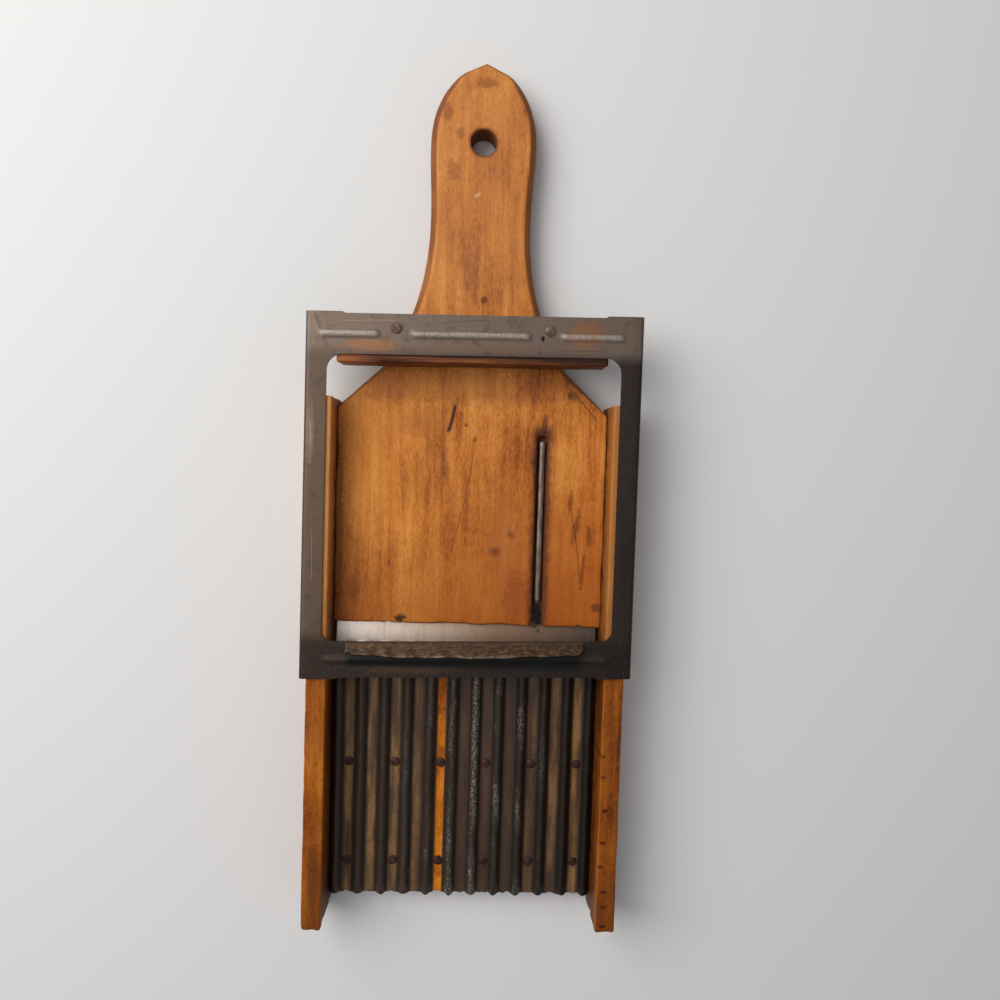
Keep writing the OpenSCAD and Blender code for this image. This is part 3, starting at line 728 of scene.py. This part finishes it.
def all_nails():
    dark = iron_nail()
    plate_top = bed_high[2] + PLATE_T
    bed_rows = [bed_low[1] + BED_ROW_LOW, bed_high[1] - BED_ROW_HIGH]
    valleys = [ridge_x(i) + RIDGE_PITCH / 2 for i in range(0, RIDGES, 2)]
    bed_places = [(x, y, plate_top) for y in bed_rows for x in valleys]
    nails("bed_nail_heads", "base", "iron_nail", dark, "bed_nails", bed_places, (0, 0, 1), 3.8, 6, 40)
    board_rows = [BODY_END_Y + BODY_NAIL_IN, (BODY_END_Y + SHOULDER_Y) / 2, SHOULDER_Y - SHOULDER_NAIL_IN]
    lower_rows = [bed_low[1] + BED_NAIL_IN, (bed_low[1] + bed_high[1]) / 2, bed_high[1] - BED_NAIL_IN]
    for side, word in ((-1, "left"), (1, "right")):
        places = [(side * rail_high[0], y, board_high[2] / 2) for y in board_rows]
        places += [(side * rail_high[0], y, bed_high[2] / 2) for y in lower_rows]
        heads, node = word + "_rail_nail_heads", word + "_rail_nails"
        nails(heads, "base", "iron_nail", dark, node, places, (side, 0, 0), 3.2, 22, 60 + side)
    low, high = node_box("pusher_nails")
    r = CLEAT_NAIL_R
    cleat_places = [(low[0] + r, low[1] + r, SHEET_TOP), (high[0] - r, high[1] - r, SHEET_TOP)]
    pale = frame_nail()
    nails("cleat_nail_heads", "carriage", "frame_nail", pale, "pusher_nails", cleat_places, (0, 0, 1), 4.4, 11, 80)
    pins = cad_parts["blade_pins"]
    for k in range(len(pins.data.materials)):
        pins.data.materials[k] = dark


# Wooden pieces
def worn_board(points, normals):
    """Ragged lower edge and small dents of the board."""
    x, y, z = points.T
    chip = np.maximum(0, smooth_noise(np.column_stack([x, z]), 5, 31) - 0.5)
    lower = ramp01(-y, 50.2, 51.2) * ramp01(z, board_high[2] - 2.5, board_high[2])
    dent = np.maximum(0, smooth_noise(points[:, :2], 9, 32) - 1.1) * 0.12
    face = ramp01(normals[:, 2], 0.8, 1)
    moved = points.copy()
    moved[:, 1] += 0.45 * chip * lower
    moved[:, 2] -= dent * face
    return moved


def worn_rail(points, normals):
    x, y, z = points.T
    dent = np.maximum(0, smooth_noise(points, 7, 33) - 0.9) * 0.15
    foot = ramp01(-y, 166, 171)
    chips = 0.25 * foot * np.maximum(0, smooth_noise(points, 5, 34))
    return points - normals * (dent + chips)[:, None]


def wooden_pieces():
    piece = worn_solid("board", "handle_board", 0.6, 1, 0.9, worn_board, 0.45)
    dress(piece, "base", "board_wood", board_wood(), "handle_board")
    rails = rail_wood()
    for word in ("left", "right"):
        piece = worn_solid(word + "_side_rail", word + "_rail", 0.55, 7 + len(word), 0.7, worn_rail, 0.45)
        dress(piece, "base", "rail_wood", rails, word + "_rail")
    piece = worn_solid("bed", "bed_board", 0.6, 15, 1, worn_rail, 0.4)
    dress(piece, "base", "bed_wood", bed_wood(), "bed_board")
    piece = worn_solid("cleat", "pusher_cleat", 0.5, 17, 1, worn_rail, 0.5)
    dress(piece, "carriage", "cleat_wood", cleat_wood(), "pusher_cleat")


# Wood materials
def grained(paint, stops, streak=0.35, flecks=0.4):
    """Colour of wood whose grain runs along Y, with fine dark flecks."""
    tone = paint.noise((0.06, 0.030, 0.06), 5, 0.6)
    grain = paint.noise((0.32, 0.022, 0.32), 5, 0.6, twist=0.6)
    fine = paint.noise((1.3, 0.35, 1.3), 5, 0.75)
    fleck = paint.noise((1.7, 0.5, 1.7), 4, 0.75, shift=(7, 3, 1))
    value = paint.add(paint.times(grain, 0.30), paint.add(paint.times(tone, 0.40), paint.times(fine, 0.3)))
    colour = paint.ramp(value, stops)
    dark = linear(stops[0][1])
    colour = paint.mix(paint.times(paint.step(fine, 0.52, 0.78), streak), colour, dark)
    darker = tuple(c * 0.6 for c in dark)
    colour = paint.mix(paint.times(paint.step(fleck, 0.54, 0.68), flecks), colour, darker)
    glint = paint.times(paint.step(fleck, 0.43, 0.34), 0.5)
    colour = paint.mix(glint, colour, linear(stops[-1][1]))
    speck = paint.step(paint.noise(1.1, 3, 0.7, shift=(2, 8, 4)), 0.685, 0.73)
    colour = paint.mix(paint.times(speck, 0.6), colour, linear((240, 196, 140)))
    return colour, paint.add(paint.times(fine, 0.6), paint.times(fleck, -0.4)), tone


def blotted(paint, colour, marks):
    """Stains and patches of painted shade: (x, y, half width, half length, turn, sRGB colour, strength)."""
    for x, y, half_w, half_l, turn, shade, strength in marks:
        blot = paint.blot(x, y, half_w, half_l, turn)
        colour = paint.mix(paint.times(blot, strength), colour, linear(shade))
    return colour


def lined(paint, colour, lines):
    """Scratches and dark lines of painted shade: (x0, y0, x1, y1, width, bend, sRGB colour, strength)."""
    for x0, y0, x1, y1, width, bend, shade, strength in lines:
        line = paint.scratch(x0, y0, x1, y1, width, bend)
        colour = paint.mix(paint.times(line, strength), colour, linear(shade))
    return colour


BOARD_STAINS_AND_SHADOW = [
    (-10.8, 13, 1.5, 7.5, 8, (112, 54, 44), 0.45), (10.3, -21.6, 0.9, 0.9, 0, (70, 32, 14), 0.75),
    (16.1, -14.6, 0.7, 0.8, 0, (80, 38, 18), 0.7), (38.4, 42.4, 1.0, 0.8, 0, (70, 34, 18), 0.8),
    (-2.9, 29.0, 0.7, 0.9, 0, (88, 46, 22), 0.7), (1.0, 23.2, 1.0, 1.1, 0, (84, 42, 20), 0.6),
    (52.0, -43.4, 2.2, 2.0, 0, (70, 32, 14), 0.6), (-27.2, -49.2, 2.4, 1.6, 0, (38, 18, 8), 0.9),
    (40, -1, 1.1, 5, -6, (112, 50, 14), 0.6), (42.5, -12, 1.5, 7, -10, (104, 44, 12), 0.65),
    (48, -14, 1.3, 5, 4, (108, 48, 14), 0.6), (46, -28, 0.9, 10, -4, (100, 42, 12), 0.6),
    (28.7, 30, 1.3, 4.5, 0, (74, 34, 36), 0.7), (39.5, 42, 2.2, 2.0, 0, (84, 44, 26), 0.6),
    (24.5, 17, 1.6, 4, 0, (60, 30, 36), 0.5), (14, -18, 7, 26, 3, (160, 84, 44), 0.35),
    (-18, 30, 14, 6, 10, (150, 88, 36), 0.3), (-8, -6, 2.5, 12, 4, (150, 70, 24), 0.4),
    (16.5, -14.5, 2.0, 2.2, 0, (110, 52, 30), 0.4), (10.3, -21.6, 2.6, 2.4, 0, (96, 44, 30), 0.45),
    (20, -40, 6, 12, 0, (132, 60, 18), 0.45), (-46, -38, 3, 5, 0, (120, 66, 26), 0.4),
    # Painted shadow of the left rail: a darker strip along the board's left edge.
    (-52.9, -12, 2.6, 40, 0, (92, 66, 28), 0.55),
    (1.3, 163.0, 5, 2.2, 0, (118, 60, 30), 0.5), (-11.0, 128.9, 3.0, 4.5, 20, (132, 74, 38), 0.5),
    (-14.0, 151.8, 2.5, 4, 10, (128, 70, 36), 0.5), (-8.7, 143.2, 1.8, 2.5, 0, (126, 66, 34), 0.5),
    (2.7, 78.7, 1.3, 1.8, 0, (84, 42, 20), 0.8), (2.6, 70, 0.5, 7, 2, (118, 62, 30), 0.6),
    (-0.9, 119.6, 1.5, 0.8, 30, (224, 176, 128), 0.6), (0, 44, 60, 7, 1, (112, 62, 28), 0.35),
]
BOARD_LINES = [
    # Painted shade: a dark line standing for the shadow inside a slit that is not modelled.
    (-7.3, 37.6, -10.1, 25.4, 0.95, 0.3, (58, 24, 12), 0.95),
    (0.9, 23.2, -8.6, -24.5, 0.22, 1.3, (112, 52, 20), 0.8),
    (39, 2, 45, -34, 0.35, 0.8, (84, 36, 12), 0.55), (37, 46, 51, 31, 0.5, 0.3, (84, 44, 28), 0.5),
    (-30, 20, -27, -8, 0.2, 0.5, (120, 62, 26), 0.6),
    (20, 36, 18, 4, 0.18, -0.4, (122, 64, 28), 0.5), (-40, 0, -41, -38, 0.2, 0.2, (104, 52, 20), 0.5),
    (6, 60, 4, 100, 0.2, 0.6, (140, 80, 42), 0.5), (-6, 96, -8, 126, 0.18, -0.5, (136, 78, 40), 0.5),
]


def board_wood():
    p = Paint("board_wood")
    stops = [(0.41, (138, 70, 20)), (0.47, (186, 106, 36)), (0.53, (208, 128, 50)), (0.60, (230, 156, 72))]
    colour, relief, tone = grained(p, stops, 0.45, 0.5)
    redder = p.times(p.step(p.y, 45, -30), p.step(p.x, -40, 30))
    colour = p.mix(p.times(redder, 0.55), colour, linear((172, 86, 20)))
    # Upper left of the board lighter: partly painted light from the upper left, partly the honey tone of the wood.
    honey_and_light = p.times(p.step(p.x, 0, -45), p.step(p.y, -30, 0))
    colour = p.mix(p.times(honey_and_light, 0.35), colour, linear((232, 148, 56)))
    paler = p.step(p.y, 50, 100)
    colour = p.mix(p.times(paler, 0.35), colour, linear((196, 128, 76)))
    lower = p.times(p.step(p.y, -10, -50), 0.5)
    colour = p.mix(lower, colour, linear((160, 78, 14)))
    colour = blotted(p, colour, BOARD_STAINS_AND_SHADOW)
    # Dark halo round the rod's groove: painted shade in and beside the groove, with some staining.
    across = p.math("ABSOLUTE", p.minus(p.x, (rod_low[0] + rod_high[0]) / 2))
    along = p.band(p.y, rod_low[1] - 12, rod_high[1] + 3, 5)
    ragged = p.times(p.minus(p.noise(0.35, 3), 0.5), 2.4)
    groove_shade_and_stain = p.times(p.step(p.add(across, ragged), 5.4, 2.2), along)
    colour = p.mix(p.times(groove_shade_and_stain, 0.85), colour, linear((52, 20, 18)))
    colour = lined(p, colour, BOARD_LINES)
    # Chamfers, sides and underside darker: partly painted shade, partly grime, mottled by noise.
    edge = p.step(p.nz, 0.985, 0.80)
    darkening = p.step(p.noise((0.1, 0.05, 0.3), 3), 0.35, 0.65)
    colour = p.mix(p.times(edge, p.add(0.6, p.times(darkening, 0.2))), colour, linear((104, 54, 24)))
    from_hole = p.vector("SUBTRACT", p.place, (0.886, 140.1, 0))
    hole = p.vector("LENGTH", p.vector("MULTIPLY", from_hole, (1, 1, 0)))
    colour = p.mix(p.times(p.step(hole, 6.8, 5.2), 0.6), colour, linear((104, 54, 26)))
    rough = p.add(0.42, p.add(p.times(tone, 0.12), p.times(edge, 0.12)))
    return p.finish(colour, rough, relief, 0.16, specular=0.22)


RAIL_STAINS = [
    (54.8, -99.9, 1.5, 0.8, 0, (64, 18, 8), 0.8), (55.1, -108.3, 1.5, 0.8, 0, (70, 22, 10), 0.7),
    (56.4, -121.9, 1.5, 0.8, 10, (60, 18, 8), 0.85), (56.1, -134.8, 1.5, 0.8, 0, (66, 20, 8), 0.8),
    (55.3, -144.5, 1.5, 0.8, 0, (60, 20, 10), 0.7), (56.9, -154.7, 1.5, 0.8, 0, (58, 18, 8), 0.8),
    (57.1, -160.8, 1.5, 0.8, 0, (62, 20, 8), 0.8), (57.0, -168.7, 1.5, 0.8, 0, (44, 16, 8), 0.8),
    (-57.5, -150, 2.5, 18, 0, (84, 42, 14), 0.5), (-58, -96, 3, 9, 0, (166, 98, 34), 0.4),
]


def rail_wood():
    p = Paint("rail_wood")
    stops = [(0.41, (96, 42, 6)), (0.47, (138, 70, 8)), (0.53, (162, 86, 12)), (0.60, (186, 110, 28))]
    colour, relief, tone = grained(p, stops, 0.5, 0.5)
    colour = p.mix(p.times(p.step(p.y, -75, -35), 0.6), colour, linear((206, 142, 78)))
    colour = p.mix(p.times(p.step(p.y, -125, -168), 0.45), colour, linear((98, 48, 12)))
    colour = p.mix(p.times(p.step(p.x, -20, 40), 0.25), colour, linear((104, 50, 12)))
    # Painted light: the left rail's upper part lighter, where the light from the upper left falls.
    lit_left_rail = p.times(p.step(p.x, 20, -20), p.step(p.y, -60, -10))
    colour = p.mix(p.times(lit_left_rail, 0.4), colour, linear((236, 172, 104)))
    colour = blotted(p, colour, RAIL_STAINS)
    # Rounded top edges lighter: partly painted highlight, partly rubbed wear.
    top_edge_highlight_and_wear = p.times(p.step(p.z, rail_high[2] - 1.6, rail_high[2] - 0.3), p.step(p.nz, 0.98, 0.6))
    colour = p.mix(p.times(top_edge_highlight_and_wear, 0.4), colour, linear((196, 124, 52)))
    # Painted shade on the rails' inner faces above the board, mottled by noise.
    inner_face_shade = p.times(p.step(p.math("ABSOLUTE", p.x), 56, 54.3), p.step(p.z, 25, 12))
    darkening = p.add(0.45, p.times(p.step(p.noise(0.15, 3), 0.35, 0.65), 0.4))
    colour = p.mix(p.times(inner_face_shade, darkening), colour, linear((66, 32, 12)))
    rough = p.add(0.45, p.times(tone, 0.15))
    return p.finish(colour, rough, relief, 0.16, specular=0.2)


def cleat_wood():
    p = Paint("cleat_wood")
    grain = p.noise((0.02, 0.5, 0.5), 5, 0.6, twist=0.4)
    fine = p.noise((0.09, 3.2, 3.2), 4, 0.6)
    fleck = p.noise((0.6, 5, 5), 2)
    value = p.add(p.times(grain, 0.65), p.times(fine, 0.35))
    stops = [(0.40, (62, 28, 12)), (0.47, (98, 50, 22)), (0.54, (124, 68, 30)), (0.62, (152, 90, 42))]
    colour = p.ramp(value, stops)
    # Painted light: the cleat's left end lighter, where the light reaches it.
    colour = p.mix(p.times(p.step(p.x, -36, -54), 0.7), colour, linear((186, 108, 48)))
    colour = p.mix(p.times(p.step(fleck, 0.58, 0.72), 0.45), colour, linear((44, 18, 8)))
    # Painted shadow: a dark strip on the cleat just under the sheet's edge.
    corner = p.step(p.y, WINDOW_HIGH_Y - 1.3, WINDOW_HIGH_Y - 0.3)
    colour = p.mix(p.times(corner, 0.85), colour, linear((22, 9, 5)))
    relief = p.add(p.times(fine, 0.6), p.times(fleck, -0.4))
    return p.finish(colour, p.add(0.45, p.times(fine, 0.2)), relief, 0.14, specular=0.25)


def bed_wood():
    p = Paint("bed_wood")
    stops = [(0.41, (150, 74, 8)), (0.47, (196, 104, 12)), (0.53, (218, 126, 22)), (0.60, (232, 150, 44))]
    colour, relief, tone = grained(p, stops, 0.5, 0.5)
    darkening = p.step(p.noise(0.18, 4), 0.50, 0.66)
    colour = p.mix(p.times(darkening, 0.55), colour, linear((84, 42, 14)))
    ends = p.step(p.math("ABSOLUTE", p.minus(p.y, (bed_low[1] + bed_high[1]) / 2)), 46.6, 47.3)
    colour = p.mix(p.times(ends, 0.5), colour, linear((76, 40, 18)))
    return p.finish(colour, p.add(0.5, p.times(tone, 0.15)), relief, 0.14, specular=0.2)


# Metal materials
def speckled(paint, colour, dark, light, scale=0.8, amount=0.5):
    """Fine uneven speckle of an old metal surface."""
    coarse = paint.noise(scale * 0.3, 5, 0.65)
    fine = paint.noise(scale * 1.7, 5, 0.75, shift=(3, 9, 5))
    colour = paint.mix(paint.times(paint.step(coarse, 0.50, 0.72), amount), colour, linear(dark))
    colour = paint.mix(paint.times(paint.step(fine, 0.56, 0.74), amount), colour, linear(light))
    return colour, coarse, fine


def frame_tin():
    p = Paint("frame_tin")
    base = p.ramp(p.step(p.x, -65, 65, False), [(0, (98, 78, 62)), (0.35, (80, 62, 50)), (1, (42, 31, 25))])
    upper = p.step(p.y, WINDOW_HIGH_Y - 2, WINDOW_HIGH_Y + 4)
    base = p.mix(p.times(upper, 0.6), base, linear((134, 116, 102)))
    lower = p.step(p.y, WINDOW_LOW_Y + 4, WINDOW_LOW_Y - 3)
    base = p.mix(p.times(lower, 0.85), base, linear((30, 19, 12)))
    colour, coarse, fine = speckled(p, base, (54, 38, 28), (150, 128, 110), 0.8, 0.45)
    colour = blotted(p, colour, [
        (-40, 57.5, 11, 2.6, 0, (158, 104, 60), 0.6), (42, 64, 8, 6, 20, (150, 96, 54), 0.55),
        (-62, 24, 1.6, 12, 0, (142, 122, 104), 0.4), (5, 58, 26, 2, 0, (120, 84, 58), 0.4),
        (-20, -66, 20, 2.5, 2, (88, 62, 44), 0.4), (60, -20, 3, 20, 0, (36, 26, 20), 0.5),
        (25.5, 62.2, 0.8, 1.15, 0, (8, 4, 2), 1.0),
    ])
    colour = lined(p, colour, [
        (-62.3, 29, -61.6, 19, 0.25, 0.2, (170, 150, 132), 0.6),
        (-60.5, -12, -60.2, -34, 0.2, -0.1, (150, 130, 112), 0.5),
        (-16, 66, 6, 68.5, 0.2, 0.3, (64, 48, 38), 0.6), (30, 57.6, 52, 58.2, 0.2, 0.2, (66, 46, 34), 0.6),
        (-52, 66, -30, 67, 0.18, 0.2, (168, 150, 136), 0.5),
    ])
    # Painted highlight on the rib tops, broken up on the upper bar by worn speckle, fainter on the lower bar.
    below_lip = p.step(p.z, SHEET_TOP + 1.3, SHEET_TOP + 0.95)
    rib_highlight = p.times(p.step(p.z, SHEET_TOP + 0.25, SHEET_TOP + 0.75), below_lip)
    wear = p.add(0.25, p.times(p.step(fine, 0.4, 0.62), 0.5))
    colour = p.mix(p.times(p.times(rib_highlight, upper), wear), colour, linear((192, 180, 168)))
    colour = p.mix(p.times(p.times(rib_highlight, p.minus(1, upper)), 0.3), colour, linear((130, 106, 88)))
    shade = p.band(p.y, WINDOW_LOW_Y - 9.5, WINDOW_LOW_Y - 3.5, 2.2)
    colour = p.mix(p.times(shade, p.band(p.x, LIP_X0 + 2, LIP_X1 - 2, 4)), colour, linear((7, 4, 2)))
    lip = p.step(p.z, SHEET_TOP + 0.6, SHEET_TOP + 1.0)
    on_lip = p.times(lip, lower)
    stops = [(0.38, (38, 22, 8)), (0.5, (74, 47, 22)), (0.66, (116, 86, 50))]
    mottled = p.ramp(p.noise((0.45, 1.2, 1.2), 5, 0.7), stops)
    colour = p.mix(p.times(on_lip, 0.85), colour, mottled)
    # Painted highlight along the lip's free edge, broken up by speckle.
    free_edge_highlight = p.times(p.step(p.z, SHEET_TOP + 3.0, SHEET_TOP + 3.6), on_lip)
    colour = p.mix(p.times(free_edge_highlight, p.times(p.step(fine, 0.4, 0.65), 0.6)), colour, linear((168, 146, 120)))
    # Painted shade on the sheet's sloped and folded faces, the lip left out.
    side_shade = p.step(p.nz, 0.97, 0.5)
    colour = p.mix(p.times(p.times(side_shade, p.minus(1, lip)), 0.6), colour, linear((30, 21, 16)))
    height = p.add(p.times(coarse, 0.7), p.times(fine, 0.3))
    rough = p.add(0.38, p.times(fine, 0.25))
    return p.finish(colour, rough, height, 0.12, metallic=0.45)


def ridged_tin():
    p = Paint("ridged_tin")
    rise = p.step(p.z, bed_high[2] + PLATE_T + 0.05, bed_high[2] + PLATE_T + 0.7)
    stops = [(0.38, (78, 52, 28)), (0.5, (114, 80, 44)), (0.62, (142, 104, 58))]
    valley = p.ramp(p.noise((0.3, 0.035, 0.3), 5), stops)
    pitches = p.add(p.math("DIVIDE", p.x, RIDGE_PITCH), (RIDGES - 1) / 2)
    from_valley = p.times(p.math("ABSOLUTE", p.minus(p.math("FRACT", pitches), 0.5)), RIDGE_PITCH)
    uneven = p.times(p.minus(p.noise((0.3, 0.08, 0.3), 3), 0.5), 1.6)
    # Painted shadow in the valleys beside the ridges: darker away from each valley's middle.
    darkening = p.step(p.add(from_valley, uneven), 0.9, 2.1)
    valley = p.mix(p.times(darkening, 0.85), valley, linear((26, 17, 10)))
    dim = p.times(p.step(p.math("ABSOLUTE", p.minus(p.x, 8)), 40, 8), 0.8)
    valley = p.mix(dim, valley, linear((50, 29, 18)))
    top = p.ramp(p.step(p.x, -54, 54, False), [(0, (74, 58, 48)), (0.5, (62, 51, 42)), (1, (30, 22, 15))])
    colour = p.mix(rise, valley, top)
    colour, coarse, fine = speckled(p, colour, (38, 25, 16), (112, 90, 70), 0.9, 0.45)
    crest = p.step(p.z, left_plate_high[2] - 1.5, left_plate_high[2] - 0.6)
    # Painted shade on the lower flanks of the ridges.
    flank_shade = p.times(rise, p.step(p.z, left_plate_high[2] - 1.2, left_plate_high[2] - 1.8))
    colour = p.mix(p.times(flank_shade, 0.55), colour, linear((24, 17, 13)))
    middle = p.times(p.step(p.math("ABSOLUTE", p.minus(p.x, 5)), 36, 12), 0.8)
    patch = p.step(p.noise((0.09, 0.03, 0.09), 3), 0.44, 0.60)
    scattered = p.times(p.times(crest, 0.35), p.step(fine, 0.60, 0.70))
    colour = p.mix(scattered, colour, linear((150, 132, 112)))
    worn = p.times(p.times(crest, middle), p.times(patch, p.step(fine, 0.48, 0.60)))
    colour = p.mix(worn, colour, linear((168, 160, 148)))
    height = p.add(p.times(coarse, 0.5), p.times(fine, 0.5))
    rough = p.minus(0.52, p.times(crest, 0.14))
    return p.finish(colour, rough, height, 0.10, metallic=p.times(rise, 0.4))


def blade_steel():
    p = Paint("blade_steel")
    lines = p.noise((7, 0.2, 0.2), 3, 0.6)
    wide = p.noise((0.5, 0.1, 0.1), 3)
    # Painted reflection and light: the blade bright at the left, dark at the right.
    base = p.ramp(p.step(p.x, -54, 54, False),
                  [(0, (242, 230, 220)), (0.3, (206, 184, 166)), (0.6, (150, 118, 94)), (1, (92, 78, 70))])
    colour = p.mix(p.times(p.step(lines, 0.45, 0.7), 0.22), base, linear((92, 70, 56)))
    colour = p.mix(p.times(p.step(wide, 0.50, 0.72), 0.25), colour, linear((140, 112, 90)))
    spots = p.step(p.noise(0.9, 4, 0.7), 0.64, 0.74)
    colour = p.mix(p.times(spots, 0.5), colour, linear((70, 46, 32)))
    # Painted shade: a black patch where the open end of the rod's groove looks down onto the blade.
    colour = blotted(p, colour, [(28.2, -46.6, 3.4, 6.8, 0, (12, 6, 4), 1.0)])
    rough = p.add(0.26, p.times(lines, 0.25))
    return p.finish(colour, rough, lines, 0.03, metallic=0.6)


def rusted_iron(name, dark, mid, light, metallic, roughness):
    p = Paint(name)
    coarse = p.noise(0.5, 4)
    colour = p.ramp(coarse, [(0.35, dark), (0.5, mid), (0.68, light)])
    fine = p.noise(2.2, 4, 0.7)
    colour = p.mix(p.times(p.step(fine, 0.52, 0.68), 0.35), colour, linear(dark))
    return p.finish(colour, p.add(roughness, p.times(fine, 0.2)), fine, 0.05, metallic=metallic)


def iron_rod():
    p = Paint("iron_rod")
    tone = p.noise((0.6, 0.15, 0.6), 4)
    colour = p.ramp(tone, [(0.35, (98, 84, 72)), (0.5, (122, 104, 92)), (0.66, (146, 126, 112))])
    # Painted shade on the rod below its top, leaving a painted highlight along the top.
    rod_side_shade = p.step(p.z, rod_high[2] - 0.1, rod_high[2] - 0.8)
    colour = p.mix(p.times(rod_side_shade, 0.9), colour, linear((24, 20, 15)))
    return p.finish(colour, p.add(0.32, p.times(tone, 0.15)), tone, 0.02, metallic=0.4)


def iron_nail():
    return rusted_iron("iron_nail", (34, 17, 11), (60, 33, 22), (86, 50, 34), 0.3, 0.55)


def frame_nail():
    return rusted_iron("frame_nail", (76, 54, 44), (112, 90, 78), (138, 116, 102), 0.45, 0.45)


make_camera()
make_lights()
make_floor()
wooden_pieces()
tin = ridged_tin()
ridged_plate("left_ridges", "left_ridged_plate", left_plate_low, left_plate_high, 51, tin)
ridged_plate("right_ridges", "right_ridged_plate", right_plate_low, right_plate_high, 55, tin)
blade()
rod()
all_nails()
carriage_frame()

scene = bpy.context.scene
scene.view_settings.view_transform = "Standard"
